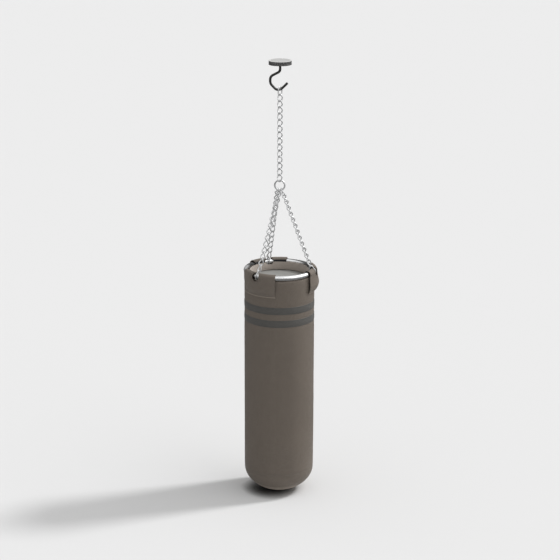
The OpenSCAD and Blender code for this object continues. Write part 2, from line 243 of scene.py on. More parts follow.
# ---------------------------------------------------------------- materials
def leather(name, base, rough, grain=620.0, wear=0.25, spec=0.36, variation=0.10, sheen=0.08,
            bump=0.5, dust_and_bounce_light=None):
    """Pebbled synthetic leather with creases darkened by painted shade, tone drift, scuffs and
    paler worn edges. The last argument is (height where the foot is palest, height where the
    paler foot ends, colour): painted light, bounced up from the floor."""
    mat = Mat(name)
    warped = mat.warp(mat.noise(scale=260, detail=1), mat.noise(scale=240, detail=1, rough=0.6),
                      mat.noise(scale=280, detail=1), amount=0.0016)
    cell = mat.voronoi(scale=grain, feature="DISTANCE_TO_EDGE", rand=0.9, vector=warped)
    pebble = mat.remap(cell, low=0.0, high=0.32)
    fine = mat.noise(scale=2600, detail=2, rough=0.6)
    slow = mat.noise(scale=4.5, detail=4, rough=0.55)
    patch = mat.noise(scale=38, detail=5, rough=0.62)
    scuff = mat.remap(mat.noise(scale=23, detail=8, rough=0.72, distort=0.6),
                      low=0.60, high=0.78)
    tone = mat.spread(base, slow, low=1 - variation, high=1 + variation)
    patch_tone = shade(base, 1 + variation * 0.8)
    tone = mat.mix(mat.remap(patch, low=0.35, high=0.7), tone, mat.mix(0.5, tone, patch_tone))
    # painted shade: the crevices between the pebbles are darkened
    painted_crease_shade = mat.mix(1.0, tone, (0.62, 0.6, 0.58), "MULTIPLY")
    tone = mat.mix(mat.sub(1.0, pebble), tone, painted_crease_shade)
    worn = shade(base, gain=1.45, lift=0.02)
    tone = mat.tint(tone, worn, scuff, amount=0.22 * wear)
    edge = mat.remap(mat.pointy(), low=0.53, high=0.62)
    tone = mat.tint(tone, worn, edge, amount=wear)
    # painted light: the foot is paler towards the bottom, standing in for light bounced up from the
    # floor
    if dust_and_bounce_light:
        full, end, bounce_light_color = dust_and_bounce_light
        height = mat.remap(mat.point()[2], low=full, high=end)
        foot = mat.sub(1.0, height, clamp=True)
        foot = mat.mul(foot, mat.ramp(patch, gain=0.5, start=0.6, clamp=True))
        tone = mat.mix(foot, tone, bounce_light_color)
    # rougher in the creases, smoother where the edges are worn
    gloss = mat.add(mat.mul(mat.noise(scale=60, detail=4, rough=0.6), 0.22), rough - 0.11)
    gloss = mat.add(gloss, mat.mul(mat.sub(1.0, pebble), 0.16), clamp=True)
    gloss = mat.sub(gloss, mat.mul(edge, 0.08), clamp=True)
    height = mat.weigh((pebble, 0.7), (fine, 0.22))
    normal = mat.bump(height, strength=bump, distance=0.00035)
    normal = mat.bump(mat.noise(scale=55), strength=0.16, distance=0.0012, normal=normal)
    return mat.set(color=tone, rough=gloss, spec=spec, sheen=sheen, sheen_rough=0.45,
                   normal=normal)


def webbing(name, base, radius, pitch=0.0022):
    """Tightly woven webbing, wrapped round the bag's axis."""
    mat = Mat(name)
    around, up = mat.polar(radius)
    rate = 2 * math.pi / pitch
    weave = mat.weave(around, up, rate, up_ratio=0.8)
    rib = mat.math("ABSOLUTE", mat.sine(up, rate * 0.4))
    fibre = mat.noise(scale=3800, detail=2, rough=0.7)
    tone = mat.spread(base, weave, low=0.55, high=1.5)
    tone = mat.tint(tone, shade(base, 1.9), mat.noise(scale=30, detail=5), amount=0.5)
    fuzz = mat.remap(mat.pointy(), low=0.52, high=0.6)
    tone = mat.tint(tone, shade(base, 2.6), fuzz, amount=0.3)
    height = mat.weigh((weave, 0.7), (rib, 0.3), (fibre, 0.2))
    return mat.set(color=tone, rough=mat.ramp(fibre, gain=0.14, start=0.75), spec=0.3,
                   sheen=0.2, sheen_rough=0.5,
                   normal=mat.bump(height, strength=0.6, distance=0.0004))


def cloth(name, base, radius, pitch=0.0013):
    """Plain woven lining cloth with a rubbed, slightly mottled face."""
    mat = Mat(name)
    around, up = mat.polar(radius)
    weave = mat.weave(around, up, 2 * math.pi / pitch)
    mottle = mat.noise(scale=26, detail=6, rough=0.6)
    tone = mat.spread(base, mat.noise(scale=7), low=0.92, high=1.08)
    rubbed = mat.remap(mottle, low=0.4, high=0.7)
    tone = mat.tint(tone, shade(base, 1.18), rubbed, amount=0.35)
    tone = mat.tint(tone, shade(base, 0.72), weave, amount=0.35)
    height = mat.weigh((weave, 0.7), (mat.noise(scale=3000, detail=2), 0.3))
    normal = mat.bump(height, strength=0.45, distance=0.00025)
    normal = mat.bump(mat.noise(scale=45), strength=0.25, distance=0.0014, normal=normal)
    return mat.set(color=tone, rough=mat.ramp(mottle, gain=0.16, start=0.70), spec=0.35,
                   sheen=0.18, sheen_rough=0.5, normal=normal)


def vinyl(name, base):
    """Coated vinyl sheet with a shallow grain whose recesses are darkened with painted shade, and
    faint handling marks.
    """
    mat = Mat(name)
    cell = mat.remap(mat.voronoi(scale=900, feature="DISTANCE_TO_EDGE", rand=0.9),
                     low=0.0, high=0.3)
    slow = mat.noise(scale=9, detail=4)
    smudge = mat.remap(mat.noise(scale=34, detail=7, rough=0.7, distort=0.5),
                       low=0.52, high=0.75)
    tone = mat.spread(base, slow, low=0.93, high=1.07)
    # painted shade in the grain's recesses
    tone = mat.tint(tone, shade(base, 0.75), mat.sub(1.0, cell), amount=0.35)
    tone = mat.tint(tone, shade(base, 0.84), smudge, amount=0.25)
    gloss = mat.ramp(smudge, gain=0.16, start=mat.ramp(slow, gain=0.1, start=0.43))
    height = mat.weigh((cell, 0.6), (mat.noise(scale=2400, detail=2), 0.2))
    normal = mat.bump(height, strength=0.4, distance=0.0003)
    normal = mat.bump(mat.noise(scale=28, detail=4, rough=0.6), strength=0.3,
                      distance=0.0022, normal=normal)
    return mat.set(color=tone, rough=gloss, spec=0.5, sheen=0.04, normal=normal)


def galvanised(name, base, rough, spangle=150.0, dark=0.25, metal=1.0):
    """Zinc-plated steel: faint spangle, drawn-wire scratches, crevices darkened by painted shade,
    bright rubs.
    """
    mat = Mat(name)
    cell = mat.xyz(mat.voronoi(scale=spangle, out="Color"))[0]
    fine = mat.noise(scale=900, detail=4, rough=0.7)
    grime = mat.remap(mat.noise(scale=70, detail=6, rough=0.65, distort=0.4),
                      low=0.42, high=0.72)
    tone = mat.spread(base, cell, low=0.9, high=1.08)
    tone = mat.tint(tone, shade(base, 0.62), grime, amount=dark)
    # painted shade: hollow places, such as where links meet, are darkened
    crevice = mat.remap(mat.pointy(), low=0.40, high=0.50, start=1.0, end=0.0)
    tone = mat.tint(tone, shade(base, 0.45), crevice, amount=0.5)
    rub = mat.remap(mat.pointy(), low=0.54, high=0.66)
    tone = mat.tint(tone, shade(base, 1.3), rub, amount=0.5)
    x, y, z = mat.point()
    drawn = mat.combine(mat.mul(x, 6.0), mat.mul(y, 6.0), mat.mul(z, 0.6))
    streak = mat.noise(scale=240, detail=5, rough=0.7, vector=drawn)
    gloss = mat.ramp(grime, gain=0.16, start=rough - 0.1)
    gloss = mat.ramp(cell, gain=0.12, start=gloss, clamp=True)
    gloss = mat.sub(gloss, mat.mul(rub, 0.1), clamp=True)
    height = mat.weigh((fine, 0.5), (streak, 0.5))
    return mat.set(color=tone, rough=gloss, metal=metal,
                   normal=mat.bump(height, strength=0.22, distance=0.00022))


def chrome(name, base=(0.88, 0.885, 0.89)):
    """Polished plated tube with fine polishing lines and faint haze."""
    mat = Mat(name)
    around, up = mat.polar(HOOP_R)
    drawn = mat.combine(mat.mul(around, 0.15), 0.0, mat.mul(up, 3.0))
    lines = mat.noise(scale=1500, rough=0.7, vector=drawn)
    haze = mat.remap(mat.noise(scale=26, detail=6, rough=0.65, distort=0.5),
                     low=0.45, high=0.72)
    spots = mat.remap(mat.voronoi(scale=210), low=0.05, high=0.012)
    tone = mat.spread(base, haze, low=1, high=0.9)
    tone = mat.tint(tone, shade(base, 0.5), spots, amount=0.5)
    # painted dark reflection: darken the upper slope of the tube where it faces away from the viewer
    geometry = mat.node("NewGeometry").outputs
    facing = mat.node("VectorMath", {0: geometry["Normal"], 1: geometry["Incoming"]},
                      operation="DOT_PRODUCT").outputs["Value"]
    x, y, _ = mat.point()
    view_x, view_y, _ = mat.xyz(geometry["Incoming"])
    away = mat.add(mat.mul(x, view_x), mat.mul(y, view_y))
    back = mat.mul(mat.remap(away, low=-0.02, high=-0.06),
                   mat.remap(facing, low=0.80, high=0.60))
    back = mat.mul(back, mat.remap(mat.xyz(geometry["Normal"])[2], low=0.05, high=0.3))
    tone = mat.tint(tone, (0.02, 0.02, 0.02), back, amount=0.92)
    gloss = mat.ramp(lines, gain=0.08, start=0.17)
    gloss = mat.ramp(haze, gain=0.12, start=gloss, clamp=True)
    return mat.set(color=tone, rough=gloss, metal=1.0,
                   normal=mat.bump(lines, strength=0.06, distance=0.00012))


def paint(name, base, rough, peel, wear, bevel, rub=None):
    """Powder coat: orange-peel bump, dust, and metal showing where the edges are rubbed.
    rub(mat) gives a further mask of bare metal."""
    mat = Mat(name)
    bare = (0.5, 0.5, 0.5)
    orange_peel = mat.noise(scale=peel, rough=0.55)
    tone = mat.spread(base, mat.noise(scale=22, detail=5, rough=0.6), low=0.85, high=1.2)
    facing_up = mat.xyz(mat.node("NewGeometry").outputs["Normal"])[2]
    dust_and_bounce_light = mat.mul(mat.remap(facing_up, low=0.2, high=0.95),
                   mat.remap(mat.noise(scale=60, detail=5, rough=0.65), low=0.3, high=0.7))
    tone = mat.tint(tone, shade(base, gain=1, lift=0.08), dust_and_bounce_light, amount=0.16)
    chips = mat.mul(mat.remap(mat.pointy(), low=0.545, high=0.60),
                    mat.remap(mat.noise(scale=140, detail=6, rough=0.7), low=0.45, high=0.6))
    mask = mat.mul(chips, wear)
    if rub is not None:
        mask = mat.math("MAXIMUM", mask, rub(mat))
    tone = mat.mix(mask, tone, bare)
    gloss = mat.ramp(mat.noise(scale=90, detail=5, rough=0.6), gain=0.2, start=rough - 0.1,
                     clamp=True)
    rounded = mat.node("Bevel", {"Radius": bevel}, samples=4).outputs[0]
    normal = mat.bump(orange_peel, strength=0.22, distance=0.00025, normal=rounded)
    return mat.set(color=tone, rough=gloss, metal=mat.mul(mask, 0.9), spec=0.5, normal=normal)


def hook_rub(mat):
    """Bare metal in the bowl of the hook, where the first link has worked the paint away."""
    bowl_depth = 0.1405
    x, _, z = mat.point()
    above = mat.math("POWER", mat.add(z, bowl_depth), 2.0)
    distance = mat.math("SQRT", mat.add(mat.mul(x, x), above))
    near = mat.remap(distance, low=0.011, high=0.004)
    return mat.mul(near, mat.remap(mat.noise(scale=420, detail=4, rough=0.7),
                                   low=0.35, high=0.6))


def rubber(name, base, rough, lip=None):
    """Speckled rubber. With lip, the raised lip is that much paler than the sunk face."""
    mat = Mat(name)
    speck = mat.remap(mat.voronoi(scale=700), low=0.1, high=0.35)
    mottle = mat.remap(mat.noise(scale=45, detail=6, rough=0.7), low=0.45, high=0.7)
    if lip:
        raised = mat.remap(mat.point()[2], low=-0.0006, high=-0.0002)
        face = mat.mix(raised, base, shade(base, lip))
        tone = mat.mix(mat.mul(speck, 0.16), face, (0.9, 0.9, 0.9), "MULTIPLY")
        tone = mat.tint(tone, shade(base, 0.9), mottle, amount=0.15)
    else:
        tone = mat.spread(base, speck, low=1.12, high=0.92)
        tone = mat.tint(tone, shade(base, 0.86), mottle, amount=0.4)
    height = mat.add(speck, mat.noise(scale=1400))
    gloss = mat.ramp(mat.noise(scale=70, detail=4), gain=0.2, start=rough - 0.1)
    return mat.set(color=tone, rough=gloss, spec=0.35, sheen=0.05,
                   normal=mat.bump(height, strength=0.25, distance=0.0003))


def turned(name, base, rough):
    """Turned metal: fine rings round the swivel axis."""
    mat = Mat(name)
    x, y, z = mat.point()
    radius = mat.math("SQRT", mat.add(mat.mul(x, x), mat.mul(y, y)))
    rings = mat.sine(mat.add(radius, z), rate=14000.0)
    film = mat.noise(scale=120, detail=5, rough=0.6)
    tone = mat.spread(base, film, low=0.85, high=1.1)
    return mat.set(color=tone, metal=1.0,
                   rough=mat.ramp(film, gain=0.16, start=rough - 0.06, clamp=True),
                   normal=mat.bump(rings, strength=0.1, distance=0.00008))


def foam(name, base):
    mat = Mat(name)
    cells = mat.voronoi(scale=420)
    # painted shade: the foam's cell hollows are darker
    tone = mat.spread(base, mat.remap(cells, low=0.0, high=0.5), low=0.7, high=1)
    tone = mat.mix(mat.noise(scale=12, detail=4), shade(base, 0.9), tone)
    return mat.set(color=tone, rough=0.9, spec=0.2,
                   normal=mat.bump(cells, strength=0.7, distance=0.001))


def shreds(name, dark=(0.10, 0.11, 0.13), pale=(0.42, 0.38, 0.33)):
    """Shredded textile: warped patches between two colours."""
    mat = Mat(name)
    warped = mat.warp(mat.noise(scale=30), mat.noise(scale=36), mat.noise(scale=33),
                      amount=0.03)
    cell = mat.xyz(mat.voronoi(scale=55, vector=warped, out="Color"))[0]
    tone = mat.mix(cell, dark, pale)
    tone = mat.mix(mat.noise(scale=900), tone, shade(pale, 0.8))
    height = mat.add(cell, mat.noise(scale=700, detail=4))
    return mat.set(color=tone, rough=0.92, spec=0.2, sheen=0.3,
                   normal=mat.bump(height, strength=0.8, distance=0.003))


def thread(name, base):
    mat = Mat(name)
    ply = mat.noise(scale=1900, rough=0.6)
    return mat.set(color=mat.spread(base, ply, low=0.75, high=1.2), rough=0.62, spec=0.35,
                   sheen=0.2, normal=mat.bump(ply, strength=0.5, distance=0.0003))


BAG = (0.182, 0.154, 0.128)
M_BAG = leather("bag_leather", BAG, rough=0.52, sheen=0.04)
# its foot is painted paler near the bottom: painted light bounced up from the floor
M_FOOT = leather("foot_leather_painted_bounce", BAG, rough=0.52, sheen=0.04,
                 dust_and_bounce_light=(Z_BOTTOM + 0.028, Z_BOTTOM + 0.060, shade(BAG, 2.0)))
M_TAB = leather("tab_leather", shade(BAG, 1.04), grain=560, rough=0.52, wear=0.5, spec=0.42,
                bump=0.6)
M_STRIPE = leather("stripe_leather", (0.110, 0.108, 0.102), grain=760, rough=0.46, wear=0.3,
                   spec=0.42, variation=0.07, bump=0.35)
M_BINDING = leather("binding_leather", shade(BAG, 1.02), grain=800, rough=0.55, wear=0.3,
                    spec=0.32, bump=0.3)
# the hem cord is coloured much paler than the bag: a painted highlight along the tab's sewn end,
# beside its real worn edges
M_HEM = leather("hem_leather", shade(BAG, 1.75), grain=800, rough=0.5, wear=0.6, spec=0.42,
                bump=0.3)
# near-black: black webbing that is also painted shade inside each tab's fold
M_WEBBING = webbing("lining_webbing", (0.011, 0.011, 0.012), radius=HOOP_R - 0.016)
M_COLLAR = cloth("collar_cloth", (0.46, 0.405, 0.358), radius=WALL_IN)
M_LID = vinyl("lid_vinyl", (0.29, 0.29, 0.277))
M_CHAIN = galvanised("chain_zinc", (0.72, 0.725, 0.73), rough=0.40, metal=0.62)
M_RING = galvanised("ring_steel", (0.70, 0.705, 0.71), rough=0.36, spangle=90, metal=0.68)
M_HOOP = chrome("hoop_chrome")
M_PLATE = paint("plate_powder_coat", (0.036, 0.036, 0.034), rough=0.5, peel=900.0, wear=0.35,
                bevel=0.0008)
M_PAD = rubber("pad_rubber", (0.50, 0.50, 0.49), rough=0.75, lip=1.28)
M_SEAL = rubber("seal_rubber", (0.22, 0.22, 0.215), rough=0.6)
M_ZINC = galvanised("zinc_fastener", (0.6, 0.6, 0.6), rough=0.28, spangle=400, dark=0.45)
M_BEARING = turned("bearing_steel", (0.62, 0.62, 0.63), rough=0.22)
M_BRONZE = turned("bronze", (0.55, 0.38, 0.18), rough=0.3)
M_FOAM = foam("foam", (0.62, 0.58, 0.46))
M_SHRED = shreds("shredded_textile")
M_THREAD = thread("sewing_thread", (0.155, 0.138, 0.118))
M_DARK_THREAD = thread("dark_thread", (0.03, 0.03, 0.03))
M_HOOK = paint("hook_black", (0.022, 0.022, 0.021), rough=0.38, peel=700, wear=0.5,
               bevel=0.0006, rub=hook_rub)

CAD_LOOKS = [
    (M_PAD, "isolation_pad"),
    (M_PLATE, "ceiling_plate swivel_housing"),
    (M_SEAL, "housing_seal"),
    (M_ZINC, "housing_screws swivel_nut"),
    (M_BEARING, "lower_race bearing_balls upper_race"),
    (M_BRONZE, "shank_bush ball_cage"),
    (M_HOOK, "swing_hook"),
    (M_CHAIN, "hook_link main_chain ring_link"
              " bridle_chain_right bridle_chain_rear bridle_chain_front"),
    (M_RING, "spreader_ring end_link_right end_link_rear end_link_front"),
    (M_HOOP, "rim_hoop"),
    (M_TAB, "tab_right tab_rear tab_front"),
    (M_WEBBING, "tab_lining_right tab_lining_rear tab_lining_front"),
    (M_BAG, "outer_cover bottom_panel"),
    (M_STRIPE, "stripe_upper stripe_lower"),
    (M_COLLAR, "collar_lining"),
    (M_LID, "top_lid"),
    (M_FOAM, "foam_liner bottom_pad"),
    (M_SHRED, "filling"),
]
for look, node_names in CAD_LOOKS:
    for node_name in node_names.split():
        cad = NODES[node_name]
        if cad.material_slots:
            for slot in cad.material_slots:
                slot.material = look
        else:
            cad.data.materials.append(look)

# ---------------------------------------------------------------- small maths


def azimuth(col, cols):
    return 2 * math.pi * col / cols


def azimuth_gap(azim, centre):
    """Signed angle from centre to azim, within half a turn."""
    return (azim - centre + math.pi) % (2 * math.pi) - math.pi


def polar_point(radius, azim, z):
    return (radius * math.cos(azim), radius * math.sin(azim), z)


def radial(azim):
    return Vector((math.cos(azim), math.sin(azim), 0))


def bell(distance, width):
    return math.exp(-(distance / width) ** 2)


def smoothstep(value):
    value = min(1.0, max(0.0, value))
    return value * value * (3 - 2 * value)


def wobble(x, y, z, scale, seed=0.0):
    return noise.noise(Vector((x * scale + seed, y * scale - seed, z * scale + 2 * seed)))


def ring_wobble(azim, spread, z, scale, seed=0.0):
    """Wobble along a circle of radius spread in noise space, so it meets itself."""
    return wobble(math.cos(azim) * spread, math.sin(azim) * spread, z, scale, seed)


def arc_lengths(points):
    steps = np.linalg.norm(np.diff(np.array(points, float), axis=0), axis=1)
    return np.concatenate([[0], np.cumsum(steps)])


def sample(values, along, where):
    """Rows of values, given at the distances along, interpolated at one or more others."""
    columns = np.array(values, float).T
    return np.stack([np.interp(where, along, column) for column in columns], -1)


def resample(profile, step):
    along = arc_lengths(profile)
    count = int(round(along[-1] / step))
    return sample(profile, along, np.linspace(0, along[-1], count + 1))


# ---------------------------------------------------------------- mesh helpers
def quad(a, b, c, d):
    """Face with corners a+c, a+d, b+d, b+c: a, b are row starts and c, d columns, or the
    other way round to turn the face over."""
    return (a + c, a + d, b + d, b + c)


def tube_faces(rings, sides, ends="joined"):
    """Faces of a tube of vertex rings whose ends are joined, capped or open."""
    faces = [quad(ring * sides, (ring + 1) % rings * sides, side, (side + 1) % sides)
             for ring in range(rings if ends == "joined" else rings - 1)
             for side in range(sides)]
    if ends == "capped":
        faces.append(tuple(range(sides - 1, -1, -1)))
        faces.append(tuple((rings - 1) * sides + side for side in range(sides)))
    return faces


def join(verts, faces, more_verts, more_faces):
    start = len(verts)
    verts += more_verts
    faces += [tuple(start + corner for corner in face) for face in more_faces]


def make_object(name, verts, faces, material, smooth=True):
    mesh = bpy.data.meshes.new(name)
    mesh.from_pydata([tuple(map(float, vert)) for vert in verts], [], faces)
    mesh.validate()
    mesh.update()
    obj = bpy.data.objects.new(name, mesh)
    SCENE.collection.objects.link(obj)
    mesh.materials.append(material)
    if smooth:
        mesh.polygons.foreach_set("use_smooth", [True] * len(mesh.polygons))
    return obj


def coords(mesh):
    points = np.zeros(len(mesh.vertices) * 3)
    mesh.vertices.foreach_get("co", points)
    return points.reshape(-1, 3)


def store(obj, points):
    obj.data.vertices.foreach_set("co", points.astype(np.float32).ravel())
    obj.data.update()


def bake(obj):
    """Applies all modifiers to the mesh."""
    bpy.context.view_layer.update()
    graph = bpy.context.evaluated_depsgraph_get()
    mesh = bpy.data.meshes.new_from_object(obj.evaluated_get(graph))
    old = obj.data
    obj.modifiers.clear()
    obj.data = mesh
    mesh.name = obj.name
    bpy.data.meshes.remove(old)


def subdivide(obj):
    modifier = obj.modifiers.new("sub", "SUBSURF")
    modifier.levels = modifier.render_levels = 1
    bake(obj)


def ray_tree(obj):
    bpy.context.view_layer.update()
    return BVHTree.FromObject(obj, bpy.context.evaluated_depsgraph_get())


def smooth_by_angle(obj, degrees):
    """Smooth faces, with the edges sharper than the angle kept sharp."""
    mesh = obj.data
    mesh.polygons.foreach_set("use_smooth", [True] * len(mesh.polygons))
    mesh.set_sharp_from_angle(angle=math.radians(degrees))


def on_bag(obj, slot, *nodes):
    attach(obj, "bag")
    if nodes:
        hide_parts(*nodes)


def bag_piece(name, verts, faces, material, slot, *nodes, sharp=None):
    obj = make_object(name, verts, faces, material)
    if sharp:
        smooth_by_angle(obj, sharp)
    on_bag(obj, slot, *nodes)


def stitch_verts(start, end, up, radius):
    """A stitch: a short six-sided thread whose ends dive into the material."""
    sink = 0.7 * MM
    # share of the length, height, share of the radius
    stations = [(-0.08, -sink, 0.55), (0.08, -0.15 * sink, 0.9), (0.5, 0.0, 1.0),
                (0.92, -0.15 * sink, 0.9), (1.08, -sink, 0.55)]
    along = end - start
    length = np.linalg.norm(along)
    along /= length
    up = up - along * (up @ along)
    up /= np.linalg.norm(up)
    side = np.cross(along, up)
    verts = []
    for share, height, swell in stations:
        centre = start + along * (length * share) + up * height
        for i in range(6):
            turn = azimuth(i, 6)
            verts.append(centre + (side * math.cos(turn) + up * math.sin(turn) * 0.8)
                         * radius * swell)
    return verts


def stitches(name, rows, material, slot, length=4.2 * MM, gap=1.8 * MM, radius=0.45 * MM):
    """Even stitches along rows, each a list of (point, outward normal)."""
    verts, faces = [], []
    stitch_faces = tube_faces(5, 6, "capped")
    for row in rows:
        points = [point for point, _ in row]
        normals = [normal for _, normal in row]
        along = arc_lengths(points)
        count = max(1, int(along[-1] / (length + gap)))
        step = along[-1] / count
        for i in range(count):
            start = i * step + gap / 2
            end = start + step - gap
            normal = sample(normals, along, (start + end) / 2)
            lift = normal * radius * 0.5
            thread_verts = stitch_verts(sample(points, along, start) + lift,
                                        sample(points, along, end) + lift, normal, radius)
            join(verts, faces, thread_verts, stitch_faces)
    bag_piece(name, verts, faces, material, slot)


def sweep(name, path, radius, material, slot, ups, closed=False, sides=10, flat=1.0,
          uneven=0.04):
    """A round cord along a path. ups are the outward directions of its section."""
    path = np.array(path, float)
    last = len(path) - 1
    verts = []
    for i, centre in enumerate(path):
        before = path[i - 1] if closed or i > 0 else centre
        after = path[(i + 1) % len(path)] if closed or i < last else centre
        along = after - before
        along /= np.linalg.norm(along)
        up = np.array(ups[i], float)
        up = up - along * (up @ along)
        up /= np.linalg.norm(up)
        side = np.cross(along, up)
        swell = 1 + uneven * wobble(*centre, 90.0)
        for j in range(sides):
            turn = azimuth(j, sides)
            verts.append(centre + (up * math.cos(turn) * flat + side * math.sin(turn))
                         * radius * swell)
    faces = tube_faces(len(path), sides, "joined" if closed else "capped")
    bag_piece(name, verts, faces, material, slot)


def run_cloth(obj, pins, frames, pressure, stiffness, bending, limit):
    """Cloth under pressure, its motion softly limited and written back to the mesh."""
    start = coords(obj.data)
    group = obj.vertex_groups.new(name="pin")
    rounded = np.round(pins, 2)
    for weight in sorted(set(rounded)):
        if weight > 0:
            members = [int(i) for i in np.nonzero(rounded == weight)[0]]
            group.add(members, float(weight), "REPLACE")
    modifier = obj.modifiers.new("Cloth", "CLOTH")
    settings = modifier.settings
    settings.quality = 6
    settings.mass = 0.25
    settings.tension_stiffness = stiffness
    settings.compression_stiffness = stiffness
    settings.shear_stiffness = stiffness * 0.4
    settings.bending_stiffness = bending
    settings.tension_damping = 15
    settings.compression_damping = 15
    settings.air_damping = 3
    settings.use_pressure = True
    settings.uniform_pressure_force = pressure
    settings.shrink_min = 0.0
    settings.effector_weights.gravity = 0
    settings.vertex_group_mass = "pin"
    settings.pin_stiffness = 1.0
    modifier.collision_settings.use_collision = False
    modifier.collision_settings.use_self_collision = False
    modifier.point_cache.frame_start = 1
    modifier.point_cache.frame_end = frames
    SCENE.frame_start, SCENE.frame_end = 1, frames
    for number in range(1, frames + 1):
        SCENE.frame_set(number)
    evaluated = obj.evaluated_get(bpy.context.evaluated_depsgraph_get())
    moved = coords(evaluated.to_mesh())
    evaluated.to_mesh_clear()
    obj.modifiers.remove(modifier)
    SCENE.frame_set(1)
    motion = moved - start
    distance = np.linalg.norm(motion, axis=1)
    distance[distance < 1e-9] = 1e-9
    # a soft limit rounds the swell off instead of stopping it flat
    motion *= (limit * np.tanh(distance / limit) / distance)[:, None]
    store(obj, start + motion)


# ---------------------------------------------------------------- bag body
def dome_profile(radius, height, steps=24):
    """Half section of the domed bottom, (radius, z) from the edge to the axis: a corner arc
    and a flatter crown arc."""
    corner_r = 0.59 * radius
    inset = radius - corner_r
    crown_r = (inset * inset + height * height - corner_r * corner_r) / (2 * (height - corner_r))
    crown_z = crown_r - height
    meet = math.atan2(inset, crown_z)
    profile = []
    for i in range(steps + 1):
        angle = (math.pi / 2 - meet) * i / steps
        profile.append((inset + corner_r * math.cos(angle), -corner_r * math.sin(angle)))
    for i in range(1, steps + 1):
        angle = meet * (1 - i / steps)
        profile.append((crown_r * math.sin(angle), crown_z - crown_r * math.cos(angle)))
    return profile


def rim_top(azim, z_top):
    """Height of a top edge, with a round notch under each tab's opening."""
    z = z_top
    for centre in TAB_AZ:
        gap = azimuth_gap(azim, centre)
        y = BAG_R * math.sin(gap)
        if abs(gap) < 1 and abs(y) < HOLE_R:
            z = min(z, Z_HOOP - math.sqrt(HOLE_R ** 2 - y ** 2) - 0.4 * MM)
    return z


START_R = BAG_R - 0.6 * MM     # before the swell
BODY_COLS = 144


def level_pin(radius, z):
    """How firmly the rim, the stripes' edges and the dome seam hold the skin at a height."""
    pin = 1.0 if z > Z_RIM - 0.012 else 0.0
    for low, high in STRIPES:
        for edge in (low.z, high.z):
            pin = max(pin, 0.85 * bell(z - edge, 0.007))
    if radius > START_R * 0.98:
        pin = max(pin, 0.55 * bell(z - Z_DOME, 0.007))
    return pin


def place_pin(azim, z):
    """How firmly the back seam and the tabs' sewn ends hold the skin."""
    pin = 0.75 * bell(abs(azimuth_gap(azim, SEAM_AZ)) * BAG_R, 0.008)
    if Z_TAB_LOW - 0.002 < z < Z_TAB_LOW + 0.016:
        if any(abs(azimuth_gap(azim, centre)) < TAB_HALF for centre in TAB_AZ):
            pin = max(pin, 0.8)
    return pin


def build_sim_body():
    """The swollen skin that the cover, bottom and stripes are laid on. Removed at the end."""
    profile = [(START_R, Z_RIM - WALL_H * i / 130) for i in range(131)]
    profile += [(radius, Z_DOME + z) for radius, z in dome_profile(START_R, DOME_H + 3.5 * MM)[1:]]
    profile = resample(profile, 8.5 * MM)
    rows = len(profile) - 1
    verts, pins = [], []
    for radius, z in profile[:-1]:
        held = level_pin(radius, z)
        for j in range(BODY_COLS):
            azim = azimuth(j, BODY_COLS)
            verts.append(polar_point(radius, azim, z))
            pins.append(max(held, place_pin(azim, z)))
    tip = len(verts)
    verts.append((0, 0, profile[-1][1]))
    pins = np.array(pins + [0.0])
    faces = tube_faces(rows, BODY_COLS, "open")
    last = (rows - 1) * BODY_COLS
    faces += [(last + j, last + (j + 1) % BODY_COLS, tip) for j in range(BODY_COLS)]
    obj = make_object("sim_body", verts, [face[::-1] for face in faces], M_BAG)

    run_cloth(obj, pins, frames=20, pressure=4.0, stiffness=30, bending=3, limit=3.0 * MM)

    # bring the free wall's mean radius to that of a packed bag, the seams much less
    points = coords(obj.data)
    radii = np.hypot(points[:, 0], points[:, 1])
    free = (pins < 0.1) & (points[:, 2] < Z_RIM - 0.15) & (points[:, 2] > Z_DOME + 0.05)
    grow = BAG_R + 1.6 * MM - float(radii[free].mean())
    points[:, :2] *= (1 + grow * (1 - 0.8 * pins) / START_R)[:, None]
    store(obj, points)

    # settled filling: slow, shallow unevenness, fading out at the rim
    points = coords(obj.data)
    for point in points:
        x, y, z = point
        radius = math.hypot(x, y)
        if radius < 1e-6:
            continue
        fade = min(1.0, max(0.0, (Z_RIM - 0.02 - z) / 0.12)) * min(1.0, radius / 0.12)
        shift = (0.7 * MM * wobble(x, y, z * 0.6, scale=6.0, seed=3.1)
                 + 0.35 * MM * wobble(x, y, z, scale=17.0, seed=7.7)) * fade
        point += (shift * x / radius, shift * y / radius, 0)
    store(obj, points)
    subdivide(obj)
    return obj


body = build_sim_body()
skin = ray_tree(body)


def on_skin(azim, z, lift=0.0):
    """Point on the swollen body at an azimuth and height."""
    outward = radial(azim)
    hit = skin.ray_cast(Vector(polar_point(0.3, azim, z)), -outward, 0.35)[0]
    if hit is None:
        return Vector(polar_point(BAG_R + lift, azim, z))
    return hit + outward * lift


